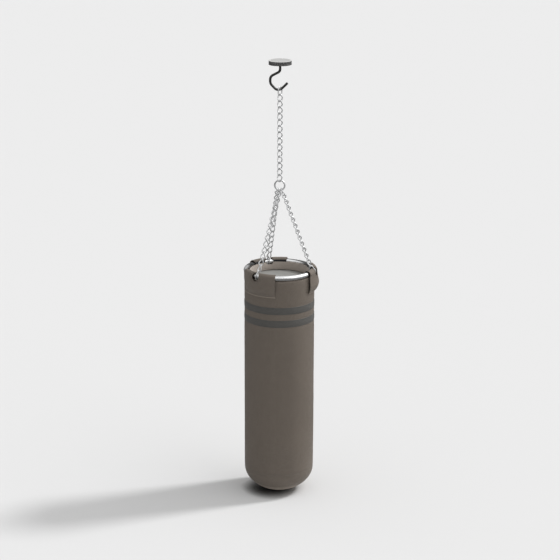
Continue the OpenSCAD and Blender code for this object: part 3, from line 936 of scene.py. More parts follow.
def build_cover():
    """The cover: the swollen outer skin and its inner face, closed at the rim and the seam."""
    cols = 432
    top_band = 0.03      # the rows that follow the notches
    # distances below the rim
    outer = list(np.linspace(0, 1, 8)[:-1] * top_band)
    outer += list(np.arange(top_band, WALL_H - 0.006, 0.009))
    outer += [WALL_H - rise for rise in (0.005, 0.0032, 0.0018, 0.0008, 0.0002)]
    inner = [0.0, top_band, 0.12, 0.4, 0.7, WALL_H - 0.05, WALL_H - 0.0002]
    verts, faces = [], []
    for depth in outer:
        for j in range(cols):
            azim = azimuth(j, cols)
            z = Z_RIM - depth
            if depth < top_band:
                top = rim_top(azim, Z_RIM)
                z = top + (Z_RIM - top_band - top) * (depth / top_band)
            point = on_skin(azim, z)
            radius = math.hypot(point.x, point.y)
            above_dome = WALL_H - depth
            if above_dome < 0.006:      # the dome seam pulls the edge in
                radius -= 0.6 * MM * (1 - above_dome / 0.006) ** 2
            to_seam = abs(azimuth_gap(azim, SEAM_AZ)) * BAG_R
            radius -= 1.0 * MM * bell(to_seam, 3.0 * MM)
            verts.append(polar_point(radius, azim, z))
    for depth in inner:
        for j in range(cols):
            azim = azimuth(j, cols)
            z = rim_top(azim, Z_RIM) if depth == 0 else Z_RIM - depth
            verts.append(polar_point(WALL_IN, azim, z))
    outer_rows = [i * cols for i in range(len(outer))]
    inner_rows = [(len(outer) + i) * cols for i in range(len(inner))]
    for j in range(cols):
        after = (j + 1) % cols
        faces += [quad(j, after, *pair) for pair in zip(outer_rows, outer_rows[1:])]
        faces += [quad(*pair, j, after) for pair in zip(inner_rows, inner_rows[1:])]
        faces.append(quad(0, inner_rows[0], j, after))
        faces.append(quad(outer_rows[-1], inner_rows[-1], after, j))
    bag_piece("bag_cover", verts, faces, M_BAG, "bag_leather", "outer_cover", sharp=50)


def build_bottom():
    """The domed bottom panel, from the swollen body below the seam, with an inner face."""
    cols = 288
    z_edge = Z_DOME - 0.1 * MM
    seam_pull = (0.6 * MM, 0.3 * MM, 0.1 * MM)      # of the first rows
    soften = 1.5 * MM
    outer = resample(dome_profile(BAG_R, DOME_H, 40), 6 * MM)
    verts, faces = [], []
    rows = len(outer) - 1
    for i in range(rows):
        start_r, drop = outer[i]
        for j in range(cols):
            azim = azimuth(j, cols)
            if i < 2:
                point = on_skin(azim, z_edge + drop - 0.2 * MM)
            else:      # cast square to the skin
                before, after = outer[i - 1], outer[i + 1]
                along = Vector((after[0] - before[0], after[1] - before[1])).normalized()
                out_r, out_z = -along.y, along.x
                if out_r < 0:
                    out_r, out_z = -out_r, -out_z
                normal = Vector((out_r * math.cos(azim), out_r * math.sin(azim), out_z))
                if drop < -0.01 and normal.z > 0:
                    normal.z = -normal.z
                start = Vector(polar_point(start_r, azim, z_edge + drop))
                hit = skin.ray_cast(start + normal * 0.05, -normal, 0.2)[0]
                point = hit if hit is not None else start
            if i < 3:
                point = point - radial(azim) * seam_pull[i]
            if point.z < REST_Z + soften:      # the foot flattens softly where it rests
                z = REST_Z + soften * math.exp((point.z - REST_Z - soften) / soften)
                point = Vector((point.x, point.y, z))
            verts.append(tuple(point))
    outer_tip = len(verts)
    verts.append((0, 0, REST_Z + 0.02 * MM))
    base = len(verts)
    inner = resample([(WALL_IN, 0.0)] + dome_profile(WALL_IN, DOME_H - COVER_T)[1:], 12 * MM)
    inner_rows = len(inner) - 1
    for radius, drop in inner[:-1]:
        verts += [polar_point(radius, azimuth(j, cols), z_edge + drop) for j in range(cols)]
    inner_tip = len(verts)
    verts.append((0, 0, z_edge + inner[-1][1]))
    last, inner_last = (rows - 1) * cols, base + (inner_rows - 1) * cols
    for j in range(cols):
        after = (j + 1) % cols
        faces += [quad(j, after, i * cols, (i + 1) * cols) for i in range(rows - 1)]
        faces.append((last + j, outer_tip, last + after))
        faces += [quad(base + i * cols, base + (i + 1) * cols, j, after)
                  for i in range(inner_rows - 1)]
        faces.append((inner_last + j, inner_last + after, inner_tip))
        faces.append(quad(0, base, j, after))
    bag_piece("bag_bottom", verts, faces, M_FOOT, "bag_leather", "bottom_panel", sharp=50)


def circle_row(z, lift=0.0, start=0.0, end=2 * math.pi):
    azims = [start + (end - start) * i / 360 for i in range(361)]
    return [(on_skin(azim, z, lift), radial(azim)) for azim in azims]


def build_seam_stitches():
    """Stitch rows on both sides of the dome seam and of the back seam."""
    rows = [circle_row(Z_DOME + 7.5 * MM), circle_row(Z_DOME - 6.5 * MM)]
    stitches("stitches_dome_seam", rows, M_THREAD, "bag_leather")
    (upper_low, upper_high), (lower_low, lower_high) = STRIPES
    clear = 1 * MM      # the back seam's stitches stop at the stripes
    spans = [(Z_RIM - 0.012, upper_high.z + clear),
             (upper_low.z - clear, lower_high.z + clear),
             (lower_low.z - clear, Z_DOME + 0.012)]
    rows = []
    for side in (-1, 1):
        azim = SEAM_AZ + side * 6.5 * MM / BAG_R
        for high, low in spans:
            levels = np.linspace(high, low, max(4, int((high - low) / 0.008)))
            rows.append([(on_skin(azim, z), radial(azim)) for z in levels])
    stitches("stitches_back_seam", rows, M_THREAD, "bag_leather")


def build_stripe(name, node, box):
    """A flat band laid on the swollen skin, rounded edges, stitched top and bottom."""
    low, high = box
    cols = 360
    height = high.z - low.z
    thick = 1.0 * MM
    edge = 0.9 * MM
    # section: distance below the top edge, lift off the skin
    top = [(0.0, -0.4 * MM), (0.0, thick * 0.35), (edge * 0.35, thick * 0.78), (edge, thick)]
    crown = [(edge + (height - 2 * edge) * i / 10,
              thick * (1 + 0.10 * math.sin(math.pi * i / 10))) for i in range(1, 10)]
    section = top + crown + [(height - depth, lift) for depth, lift in reversed(top)]
    gap = 0.9 * MM / BAG_R
    verts = []
    for j in range(cols + 1):
        azim = SEAM_AZ + gap + (2 * math.pi - 2 * gap) * j / cols
        wave = 0.3 * MM * ring_wobble(azim, 3, 0.0, scale=1.0, seed=5.0)
        for depth, lift in section:
            z = high.z - depth + wave
            point = on_skin(azim, z)
            verts.append(polar_point(math.hypot(point.x, point.y) + lift, azim, z))
    faces = tube_faces(cols + 1, len(section), "capped")
    bag_piece(name, verts, faces, M_STRIPE, "stripe_leather", node, sharp=60)
    rows = [circle_row(z, thick * 1.02, SEAM_AZ + 0.012, SEAM_AZ + 2 * math.pi - 0.012)
            for z in (high.z - 4.2 * MM, low.z + 4.2 * MM)]
    stitches("stitches_" + name, rows, M_DARK_THREAD, "stripe_leather")


build_cover()
build_bottom()
build_seam_stitches()
build_stripe("stripe_band_upper", "stripe_upper", STRIPES[0])
build_stripe("stripe_band_lower", "stripe_lower", STRIPES[1])

# ---------------------------------------------------------------- twisted chain links
WIRE_R = 2.75 * MM
VISUAL_R = 2.92 * MM      # the plated wire, a touch fuller than the CAD's
LINK_R = 11 * MM
LINK_LENGTH = 37.6 * MM
LINK_SIDE, LINK_ARC, WIRE_SIDES = 12, 16, 12      # segment counts
BRIDLE_STEPS = 13
BRIDLE_LEAN = (26, -26, 0)          # where each bridle leaves the spreader ring, degrees
BRIDLE_FIRST = (0.0, 63.4, -60.0)   # turn of each bridle's first link, degrees
BRIDLE_END = 31 * MM                # left free above the hoop's centre


def link_verts(length, top_turn, low_turn, seed):
    """One curb link: a closed loop of wire hanging from its top wire's centre at the origin,
    turning from top_turn to low_turn degrees. A butt weld swells the middle of one side."""
    straight = length - 2 * LINK_R
    arc = [math.pi * i / LINK_ARC for i in range(LINK_ARC)]
    loop = [(LINK_R, -LINK_R - straight * i / LINK_SIDE) for i in range(LINK_SIDE)]
    loop += [(LINK_R * math.cos(q), -LINK_R - straight - LINK_R * math.sin(q)) for q in arc]
    loop += [(-LINK_R, -LINK_R - straight + straight * i / LINK_SIDE)
             for i in range(LINK_SIDE)]
    loop += [(-LINK_R * math.cos(q), -LINK_R + LINK_R * math.sin(q)) for q in arc]
    path = []
    for across, z in loop:
        share = smoothstep((-z / length - 0.12) / 0.76)
        turn = math.radians(top_turn + (low_turn - top_turn) * share)
        path.append(Vector(polar_point(across, turn, z)))
    count = len(path)
    weld = LINK_SIDE // 2
    # a frame carried round the loop without twist, closed by spreading the leftover turn
    along = [(path[(i + 1) % count] - path[i - 1]).normalized() for i in range(count)]
    ups = [along[0].orthogonal().normalized()]
    for i in range(1, count + 1):
        ups.append(along[i - 1].rotation_difference(along[i % count]) @ ups[-1])
    left = math.atan2(along[0].dot(ups[count].cross(ups[0])), ups[count].dot(ups[0]))
    verts = []
    for i in range(count):
        up = Quaternion(along[i], left * i / count) @ ups[i]
        side = along[i].cross(up)
        swell = 1 + 0.13 * bell(i - weld, 0.9) + 0.012 * wobble(i * 0.6, seed, 0.3, 1.0)
        for j in range(WIRE_SIDES):
            turn = azimuth(j, WIRE_SIDES)
            verts.append(path[i] + (up * math.cos(turn) + side * math.sin(turn))
                         * VISUAL_R * swell)
    return verts


def chain(name, node, rides, places, angles, length):
    """Links at the matrices places, each turning through its own pair of angles."""
    verts, faces = [], []
    link_faces = tube_faces(2 * (LINK_SIDE + LINK_ARC), WIRE_SIDES)
    for i, (place, (top_turn, low_turn)) in enumerate(zip(places, angles)):
        link = link_verts(length, top_turn, low_turn, i * 1.7)
        join(verts, faces, [tuple(place @ vert) for vert in link], link_faces)
    obj = make_object(name, verts, faces, M_CHAIN)
    mesh = bmesh.new()
    mesh.from_mesh(obj.data)
    bmesh.ops.recalc_face_normals(mesh, faces=mesh.faces)
    mesh.to_mesh(obj.data)
    mesh.free()
    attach(obj, rides)
    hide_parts(node)


def build_bridle(index, name):
    """The chain from the spreader ring down to one end link."""
    ring_low, ring_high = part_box("spreader_ring")
    ring_z = (ring_low.z + ring_high.z) / 2
    ring_wire_r = ring_high.y
    ring_r = ring_high.x - ring_wire_r
    lean = math.radians(BRIDLE_LEAN[index])
    top = Vector((ring_r * math.sin(lean), 0, ring_z - ring_r * math.cos(lean)))
    span = Vector(polar_point(HOOP_R, TAB_AZ[index], Z_HOOP)) - top
    tilt = math.atan2(math.hypot(span.x, span.y), -span.z)
    slack = 0.5 * MM
    start = -(ring_wire_r + WIRE_R + slack)
    end = span.length - BRIDLE_END + 2 * WIRE_R + 0.6 * MM
    pitch = (end - start - 2 * WIRE_R - slack) / BRIDLE_STEPS
    base = (Matrix.Translation(top) @ Matrix.Rotation(math.atan2(span.y, span.x), 4, "Z")
            @ Matrix.Rotation(-tilt, 4, "Y"))
    turn = Matrix.Rotation(math.pi / 2, 4, "Z")
    places = [base @ Matrix.Translation((0, 0, -(start + i * pitch))) @ turn
              for i in range(BRIDLE_STEPS)]
    hand = -1 if index == REAR else 1
    angles = [(BRIDLE_FIRST[index], 45 * hand)]
    angles += [(-45 * hand, 45 * hand)] * (BRIDLE_STEPS - 2)
    angles += [(-45 * hand, 0)]
    chain("bridle_links_" + name, "bridle_chain_" + name, "bag", places, angles,
          pitch + 2 * WIRE_R + slack)


def build_chains():
    low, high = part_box("main_chain")
    count = 13
    top = high.z - WIRE_R
    pitch = (top - LINK_LENGTH - (low.z + WIRE_R)) / (count - 1)
    places = [Matrix.Translation((0, 0, top - i * pitch)) for i in range(count)]
    chain("chain_links", "main_chain", "chain", places, [(-35, 55)] * count, LINK_LENGTH)
    longer = 0.9 * MM
    ring_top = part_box("ring_link")[1].z - WIRE_R
    chain("ring_link_wire", "ring_link", "last_link",
          [Matrix.Translation((0, 0, ring_top + longer))], [(-35, 60)], LINK_LENGTH + longer)
    for index, name in enumerate(TAB_NAMES):
        build_bridle(index, name)


build_chains()


# ---------------------------------------------------------------- rim binding and collar
def build_binding():
    """Folded binding that closes the cover and its lining at the rim, and its stitches."""
    cols = 720
    drop = 8.5 * MM
    thick = 0.8 * MM
    under = -1.2 * MM
    # section: radius, height over the rim
    section = [(BINDING_OUT, -drop)]
    for turn in np.linspace(0, math.pi, 9):
        section.append(((BINDING_IN + BINDING_OUT) / 2
                        + (BINDING_OUT - BINDING_IN) / 2 * math.cos(turn),
                        1.0 * MM * math.sin(turn)))
    section += [(BINDING_IN, -drop), (BINDING_IN + thick, -drop), (BINDING_IN + thick, under),
                (BINDING_OUT - thick, under), (BINDING_OUT - thick, -drop)]
    verts = []
    for j in range(cols):
        azim = azimuth(j, cols)
        top = rim_top(azim, Z_RIM) - 0.1 * MM
        for radius, rise in section:
            uneven = 0.12 * MM * ring_wobble(azim, 9, rise * 40, scale=1.0, seed=2.0)
            verts.append(polar_point(radius + uneven, azim, top + rise))
    faces = [face[::-1] for face in tube_faces(cols, len(section))]
    bag_piece("rim_binding", verts, faces, M_BINDING, "bag_leather", sharp=55)
    row = []
    for j in range(cols + 1):
        azim = azimuth(j, cols)
        z = rim_top(azim, Z_RIM) - 6.4 * MM
        row.append((Vector(polar_point(BINDING_IN, azim, z)), -radial(azim)))
    stitches("stitches_rim", [row], M_THREAD, "bag_leather")


def build_collar():
    """Inner collar: cloth wall inside the rim, softly rippled, turned in at its lower edge."""
    cols = 360
    rows = 16
    outer_r = COLLAR_HIGH.y
    inner_r = outer_r - 2.5 * MM
    verts, faces = [], []
    for inner in (False, True):
        for i in range(rows + 1):
            share = i / rows
            for j in range(cols):
                azim = azimuth(j, cols)
                top = rim_top(azim, COLLAR_HIGH.z)
                radius = outer_r
                if inner:
                    ripple = (0.7 * MM * math.sin(math.pi * min(1, share * 1.2))
                              * ring_wobble(azim, 2.6, share, scale=1.6, seed=1.0))
                    radius = inner_r - abs(ripple) - 0.6 * MM * share * share
                    radius -= 0.5 * MM * bell(share - 0.93, 0.06)
                verts.append(polar_point(radius, azim, top + (COLLAR_LOW.z - top) * share))
    inside = (rows + 1) * cols
    last = rows * cols
    for j in range(cols):
        after = (j + 1) % cols
        for row in range(0, last, cols):
            faces.append(quad(j, after, row, row + cols))
            faces.append(quad(inside + row, inside + row + cols, j, after))
        faces.append(quad(0, inside, j, after))
        faces.append(quad(last, inside + last, after, j))
    bag_piece("collar_cloth", verts, faces, M_COLLAR, "collar_fabric", "collar_lining",
              sharp=50)


# underside of the collar pad: radius, depth below the hoop's centre
PAD_UNDERSIDE = [(0.1524, 0.0165), (0.1530, 0.0190), (0.1560, 0.0208), (0.1620, 0.0218),
                 (0.1680, 0.0226), (0.1704, 0.0250), (0.1708, 0.0320)]


def build_collar_pad():
    """Padded collar: a cloth roll inside the rim that rises behind the hoop and dips where
    each end link passes."""
    cols = 480
    pad_r = 0.1515      # the roll's top
    low = LID_HIGH.z + 0.6 * MM
    round_h = 1.2 * MM
    verts = []
    for j in range(cols):
        azim = azimuth(j, cols)
        top = Z_HOOP + 0.8 * MM + 0.4 * MM * ring_wobble(azim, 2.4, 0.0, scale=1.3, seed=8.0)
        for centre in TAB_AZ:
            distance = abs(azimuth_gap(azim, centre)) * pad_r
            top -= 12.5 * MM * smoothstep((0.024 - distance) / 0.013)
        shoulder = top - round_h
        section = []
        for i in range(13):      # inner face, slightly plump and puckered
            share = i / 12
            plump = math.sin(math.pi * share)
            pucker = 0.5 * MM * ring_wobble(azim, 11, share * 1.5, scale=1.0, seed=2.0) * plump
            section.append((0.1508 - 1.6 * MM * plump ** 0.7 + pucker,
                            low + (shoulder - low) * share))
        for i in range(1, 7):
            turn = math.pi - math.pi * i / 7
            section.append((pad_r + 0.8 * MM * math.cos(turn),
                            shoulder + round_h * math.sin(turn)))
        section.append((0.1523, shoulder))
        section += [(radius, Z_HOOP - depth) for radius, depth in PAD_UNDERSIDE]
        section.append((0.1704, low))
        verts += [polar_point(radius, azim, z) for radius, z in section]
    sides = len(section)
    faces = [quad(i, (i + 1) % sides, j * sides, (j + 1) % cols * sides)
             for j in range(cols) for i in range(sides)]
    bag_piece("collar_pad", verts, faces, M_COLLAR, "collar_fabric", sharp=60)


build_binding()
build_collar()
build_collar_pad()


# ---------------------------------------------------------------- lid
def build_lid():
    """Lid: a swollen vinyl cushion disc with a welt and a stitch row round its edge."""
    rings, cols = 30, 120
    top = LID_HIGH.z - 2.2 * MM
    panel_r = LID_HIGH.x - 3.0 * MM
    stitch_r = panel_r * 0.9
    verts = []
    for z in (top, LID_LOW.z + 0.6 * MM):
        verts.append((0, 0, z))
        for i in range(1, rings + 1):
            verts += [polar_point(panel_r * i / rings, azimuth(j, cols), z)
                      for j in range(cols)]
    under = len(verts) // 2
    starts = [1 + i * cols for i in range(rings)]
    faces = []
    for j in range(cols):
        after = (j + 1) % cols
        faces.append((0, 1 + j, 1 + after))
        faces.append((under, under + 1 + after, under + 1 + j))
        for ring, wider in zip(starts, starts[1:]):
            faces.append(quad(j, after, ring, wider))
            faces.append(quad(under + ring, under + wider, j, after))
        faces.append(quad(starts[-1], under + starts[-1], after, j))
    obj = make_object("lid_panel", verts, faces, M_LID)
    pins = np.zeros(len(verts))
    for i, (x, y, _) in enumerate(verts):
        radius = math.hypot(x, y)
        fixed = radius > panel_r * 0.985 or i >= under
        pins[i] = 1.0 if fixed else 0.8 * bell(radius - stitch_r, 4 * MM)
    run_cloth(obj, pins, frames=16, pressure=3.0, stiffness=20, bending=1.0,
              limit=2.6 * MM)
    points = coords(obj.data)
    for i in range(under):
        if pins[i] < 0.99:
            x, y, _ = points[i]
            fade = 1 - (math.hypot(x, y) / panel_r) ** 4
            points[i][2] += 0.6 * MM * wobble(x, y, 0.0, scale=14.0, seed=4.0) * fade
    store(obj, points)
    subdivide(obj)
    smooth_by_angle(obj, 50)
    on_bag(obj, "lid_vinyl", "top_lid")

    path = [polar_point(LID_HIGH.x - 2.4 * MM, azimuth(j, 240), LID_HIGH.z - 2.6 * MM)
            for j in range(240)]
    sweep("lid_welt", path, 2.2 * MM, M_LID, "lid_vinyl", ups=[(0, 0, 1)] * 240, closed=True,
          sides=12, uneven=0.05)
    tree = ray_tree(obj)
    row = []
    for j in range(361):
        azim = azimuth(j, 360)
        above = Vector(polar_point(stitch_r, azim, LID_HIGH.z + 0.05))
        hit = tree.ray_cast(above, Vector((0, 0, -1)), 0.2)[0]
        row.append((hit or Vector(polar_point(stitch_r, azim, top)), Vector((0, 0, 1))))
    stitches("stitches_lid", [row], M_THREAD, "lid_vinyl", length=5 * MM)


build_lid()

# ---------------------------------------------------------------- hanging tabs
# where the leather stops and the webbing takes over; the rear one reaches over the crest
CREST_END = [math.radians(angle) for angle in (100, 148, 100)]

# mid-line of each tab's hanging leg: height over the hoop's centre and radius, in mm
LEGS = [
    [(-98.6, 180.2), (-96, 184.5), (-89, 191.5), (-76, 198.0), (-60, 201.6), (-44, 199.0),
     (-22, 194.6), (-8, 191.6), (0, 191.25)],
    [(-98.6, 180.2), (-88, 180.3), (-60, 190.6), (-40, 191.6), (-20, 191.4), (0, 191.25)],
    [(-98.6, 180.2), (-88, 180.4), (-62, 188.8), (-40, 190.4), (-20, 191.1), (0, 191.25)]]
LEG_POINTS = 36
LEG_ROWS, HOLE_ROWS, CREST_ROWS = 34, 12, 26      # mesh rows up the leather
TAB_COLS = 44                                     # from the opening to one edge
RIGHT_HOLE_HALF = 20 * MM      # least half width of the right tab's opening over the hoop


def tab_midline(index):
    """Mid-line of a tab's leather, (radius, z) from its sewn lower end over the crest."""
    heights, radii = (np.array(LEGS[index]) * MM).T
    grid = np.linspace(heights[0], 0.0, 100)
    radii = np.interp(grid, heights, radii)
    hoop_r = WRAP_X + WRAP_MID
    padded = np.concatenate([np.full(5, radii[0]), radii, np.full(5, hoop_r)])
    radii = np.convolve(padded, np.ones(11) / 11, "valid")
    radii += (hoop_r - radii[-1]) * np.linspace(0, 1, 100) ** 8
    points = [(float(np.interp(rise, grid, radii)), Z_HOOP + float(rise))
              for rise in np.linspace(heights[0], 0.0, LEG_POINTS)]
    return points + [crest_point(CREST_END[index] * i / 24) for i in range(1, 25)]


def crest_point(turn):
    return (WRAP_X + WRAP_MID * math.cos(turn), Z_HOOP + WRAP_MID * math.sin(turn))


def thicken(obj, thickness, even, rounding, segments):
    solid = obj.modifiers.new("thick", "SOLIDIFY")
    solid.thickness = thickness
    solid.offset = 0.0
    solid.use_even_offset = even
    bevel = obj.modifiers.new("round", "BEVEL")
    bevel.width = rounding
    bevel.segments = segments
    bevel.limit_method = "ANGLE"
    bevel.angle_limit = math.radians(50)
    bake(obj)
    smooth_by_angle(obj, 60)


class Tab:
    """One hanging tab. Side -1 is clockwise of its centre seen from above, side 1 the other;
    places on it are a distance up the leather and an angle from the centre."""

    def __init__(self, index):
        self.index = index
        self.name = TAB_NAMES[index]
        self.azim = TAB_AZ[index]
        self.line = tab_midline(index)
        self.along = arc_lengths(self.line)
        self.total = self.along[-1]
        leg_z = np.array(self.line)[:LEG_POINTS, 1]
        self.opens = float(np.interp(Z_HOOP - HOLE_R, leg_z, self.along[:LEG_POINTS]))
        self.centre = self.opens + HOLE_R
        # even rows below the opening, close together where it starts
        self.stations = list(np.linspace(0, self.opens, LEG_ROWS))
        for i in range(1, HOLE_ROWS + 1):
            turn = math.pi / 2 * i / HOLE_ROWS
            self.stations.append(self.opens + HOLE_R * (1 - math.cos(turn)))
        rest = self.total - self.centre
        self.stations += [self.centre + rest * i / CREST_ROWS for i in range(1, CREST_ROWS + 1)]
        self.points = self.at(self.stations)
        self.rows = len(self.stations)

    def at(self, distance):
        return sample(self.line, self.along, distance)

    def hole_half(self, row):
        """Half width of the opening."""
        distance = self.stations[row]
        if distance <= self.opens:
            return 0.0
        if distance < self.centre:
            return math.sqrt(max(0.0, HOLE_R ** 2 - (self.centre - distance) ** 2))
        # over the crest it follows the same bore, down to a least width
        z = self.points[row][1]
        half = max(0.0133, math.sqrt(max(0.0, HOLE_R ** 2 - (z - Z_HOOP) ** 2)))
        return max(half, RIGHT_HOLE_HALF) if self.index == RIGHT else half

    def half(self, side, distance):
        """Half angle of the tab. The right one is cut narrower towards the front."""
        if self.index == RIGHT and side < 0:
            return math.radians(25.2 - 0.7 * smoothstep(distance / self.centre))
        return TAB_HALF

    def shape(self, side, angle, distance, radius, z):
        """Moves a mid-line point: belly, ripple, and edges of two tabs drawn in."""
        x = side * angle / self.half(side, distance)
        share = distance / self.total
        belly = 0.6 * MM * math.sin(math.pi * min(1, share * 2.2)) * (1 - x * x)
        ripple = (0.5 * MM * wobble(x * 2.2, share * 5.0, self.index * 3.3, 1.0, 6.0)
                  * min(1, share * 6))
        swell = belly + ripple
        pull = 0.0
        if self.index == RIGHT and x < 0:      # its front edge
            rise = max(0.0, math.sin(math.pi * min(1.0, distance / self.centre)))
            pull = 8.5 * MM * smoothstep((-x - 0.1) / 0.85) * rise ** 0.8
        if self.index == FRONT and x < 0:      # its left edge
            pull = 4.6 * MM * smoothstep((-x - 0.15) / 0.8) * min(1.0, share * 5)
        if distance > self.centre:      # crest: push along its own normal
            turn = math.atan2(z - Z_HOOP, radius - WRAP_X)
            radius += swell * 0.5 * math.cos(turn) - pull * max(0.0, math.cos(turn))
            return radius, z + swell * 0.5 * math.sin(turn)
        edge_in = -0.6 * MM * max(0.0, abs(x) - 0.93) / 0.07 if share < 0.5 else 0.0
        return radius + swell + edge_in - pull, z

    def outward(self, distance, radius, z, azim):
        if distance <= self.centre:
            return radial(azim)
        turn = math.atan2(z - Z_HOOP, radius - WRAP_X)
        return Vector(polar_point(math.cos(turn), azim, math.sin(turn)))

    def round_opening(self):
        """(side, row) down one side of the opening and up the other."""
        rows = list(range(LEG_ROWS - 1, self.rows))
        return [(-1, row) for row in reversed(rows)] + [(1, row) for row in rows[1:]]

    def across(self, distance, lift, inset, count):
        """(point, normal) across the full width at a distance up the leg."""
        radius, z = self.at(distance)
        low = -(self.half(-1, distance) - inset / BAG_R)
        high = self.half(1, distance) - inset / BAG_R
        row = []
        for j in range(count + 1):
            angle = low + (high - low) * j / count
            side = -1 if angle < 0 else 1
            out_r, out_z = self.shape(side, abs(angle), distance, radius, z)
            azim = self.azim + angle
            row.append((Vector(polar_point(out_r + lift, azim, out_z)), radial(azim)))
        return row

    def build_leather(self):
        verts, faces = [], []
        cols = TAB_COLS + 1
        for side in (-1, 1):
            base = len(verts)
            for i, (radius, z) in enumerate(self.points):
                distance = self.stations[i]
                hole = self.hole_half(i) / radius
                for j in range(cols):
                    angle = hole + (self.half(side, distance) - hole) * (j / TAB_COLS)
                    out_r, out_z = self.shape(side, angle, distance, radius, z)
                    verts.append(polar_point(out_r, self.azim + side * angle, out_z))
            for i in range(self.rows - 1):
                row = base + i * cols
                faces += [quad(row, row + cols, j, j + 1)[::side] for j in range(TAB_COLS)]
        obj = make_object("hanging_tab_" + self.name, verts, faces, M_TAB)
        mesh = bmesh.new()
        mesh.from_mesh(obj.data)
        bmesh.ops.remove_doubles(mesh, verts=mesh.verts, dist=0.00002)
        bmesh.ops.recalc_face_normals(mesh, faces=mesh.faces)
        # the lowest face must point away from the axis
        mesh.faces.ensure_lookup_table()
        lowest = min(mesh.faces, key=lambda face: face.calc_center_median().z)
        middle = lowest.calc_center_median()
        if lowest.normal.x * middle.x + lowest.normal.y * middle.y < 0:
            bmesh.ops.reverse_faces(mesh, faces=mesh.faces)
        mesh.to_mesh(obj.data)
        mesh.free()
        thicken(obj, TAB_T, even=True, rounding=1.1 * MM, segments=3)
        on_bag(obj, "tab_leather", "tab_" + self.name)

    def build_opening_cord(self):
        """Edge cord round the opening's lower half and over the crest."""
        path, ups = [], []
        for side, i in self.round_opening():
            radius, z = self.points[i]
            path.append(polar_point(radius, self.azim + side * (self.hole_half(i) / radius), z))
            ups.append(self.outward(self.stations[i], radius, z, self.azim))
        sweep("opening_binding_" + self.name, path, 2.1 * MM, M_BINDING, "tab_leather", ups,
              flat=1.05)

    def opening_row(self):
        """Stitch row that keeps a distance from the opening's edge."""
        inset = 6.2 * MM
        row = []
        for side, i in self.round_opening():
            distance = self.stations[i]
            if distance > self.total - 4 * MM:
                continue
            radius = self.points[i][0]
            half = self.hole_half(i)
            if distance < self.centre:      # square to the round edge
                below = distance - self.centre
                reach = math.hypot(half, below)
                angle = (half + inset * half / reach) / radius
                distance += inset * below / reach
            else:
                angle = (half + inset) / radius
            out_r, z = self.at(distance)
            azim = self.azim + side * angle
            normal = self.outward(distance, out_r, z, azim)
            lift = TAB_T / 2 + 0.4 * MM
            row.append((Vector(polar_point(out_r, azim, z)) + normal * lift, normal))
        return row

    def side_row(self, side):
        row = []
        for i in range(2, self.rows):
            distance = self.stations[i]
            if distance > self.total - 4 * MM:
                continue
            radius, z = self.points[i]
            angle = self.half(side, distance) - 5.2 * MM / radius
            azim = self.azim + side * angle
            along = self.points[i + 1] - self.points[i - 1]
            length = math.hypot(*along)
            normal = Vector(polar_point(along[1] / length, azim, -along[0] / length))
            out_r, out_z = self.shape(side, angle, distance, radius, z)
            lift = TAB_T / 2 + 0.1 * MM
            row.append((Vector(polar_point(out_r, azim, out_z)) + normal * lift, normal))
        return row

    def build_stitches(self):
        """Rows round the opening, up both sides, and two across the sewn end."""
        rows = [self.opening_row(), self.side_row(-1), self.side_row(1)]
        rows += [self.across(distance, TAB_T / 2 + 0.2 * MM, inset=5.2 * MM, count=60)
                 for distance in (4.5 * MM, 10.5 * MM)]
        stitches("stitches_tab_" + self.name, rows, M_THREAD, "tab_leather", length=5 * MM,
                 gap=2 * MM, radius=0.6 * MM)

    def build_hem(self):
        """Cord along the sewn end."""
        path, ups = zip(*self.across(0.3 * MM, lift=0.2 * MM, inset=0.0, count=80))
        sweep("tab_hem_" + self.name, path, 2.3 * MM, M_HEM, "tab_leather", ups)

    def build_webbing(self):
        """Inner half of the crest and the inner leg: two strips of near-black webbing, whose colour
        also paints the shade inside the tab's fold.
        """
        low = Z_WEBBING_LOW + 0.4 * MM
        start = CREST_END[self.index] + 0.012
        arc = 5 if self.index == REAR else 12
        line = [crest_point(start + (math.pi - start) * i / arc) for i in range(arc + 1)]
        line += [(WRAP_X - WRAP_MID, Z_HOOP + (low - Z_HOOP) * i / 8) for i in range(1, 9)]
        strips = 30
        cols = strips + 1
        verts, faces = [], []
        for side in (-1, 1):
            base = len(verts)
            half = self.half(side, self.total)
            for i, (radius, z) in enumerate(line):
                hole = math.sqrt(max(0.0, HOLE_R ** 2 - (z - Z_HOOP) ** 2)) / radius
                if self.index == RIGHT:
                    hole = max(hole, RIGHT_HOLE_HALF / radius)
                for j in range(cols):
                    angle = hole + (half - hole) * j / strips
                    ripple = (0.35 * MM * min(1.0, i / 4)
                              * wobble(angle * 9 * side, i * 0.4, self.index * 2.1, 1.0, 9.0))
                    verts.append(polar_point(radius + ripple, self.azim + side * angle, z))
            for i in range(len(line) - 1):
                row = base + i * cols
                faces += [quad(j, j + 1, row, row + cols)[::side] for j in range(strips)]
        obj = make_object("tab_webbing_" + self.name, verts, faces, M_WEBBING)
        thicken(obj, TAB_T * 0.9, even=False, rounding=0.9 * MM, segments=2)
        on_bag(obj, "lining_black", "tab_lining_" + self.name)


for tab in map(Tab, range(3)):
    tab.build_leather()
    tab.build_opening_cord()
    tab.build_stitches()
    tab.build_hem()
    tab.build_webbing()


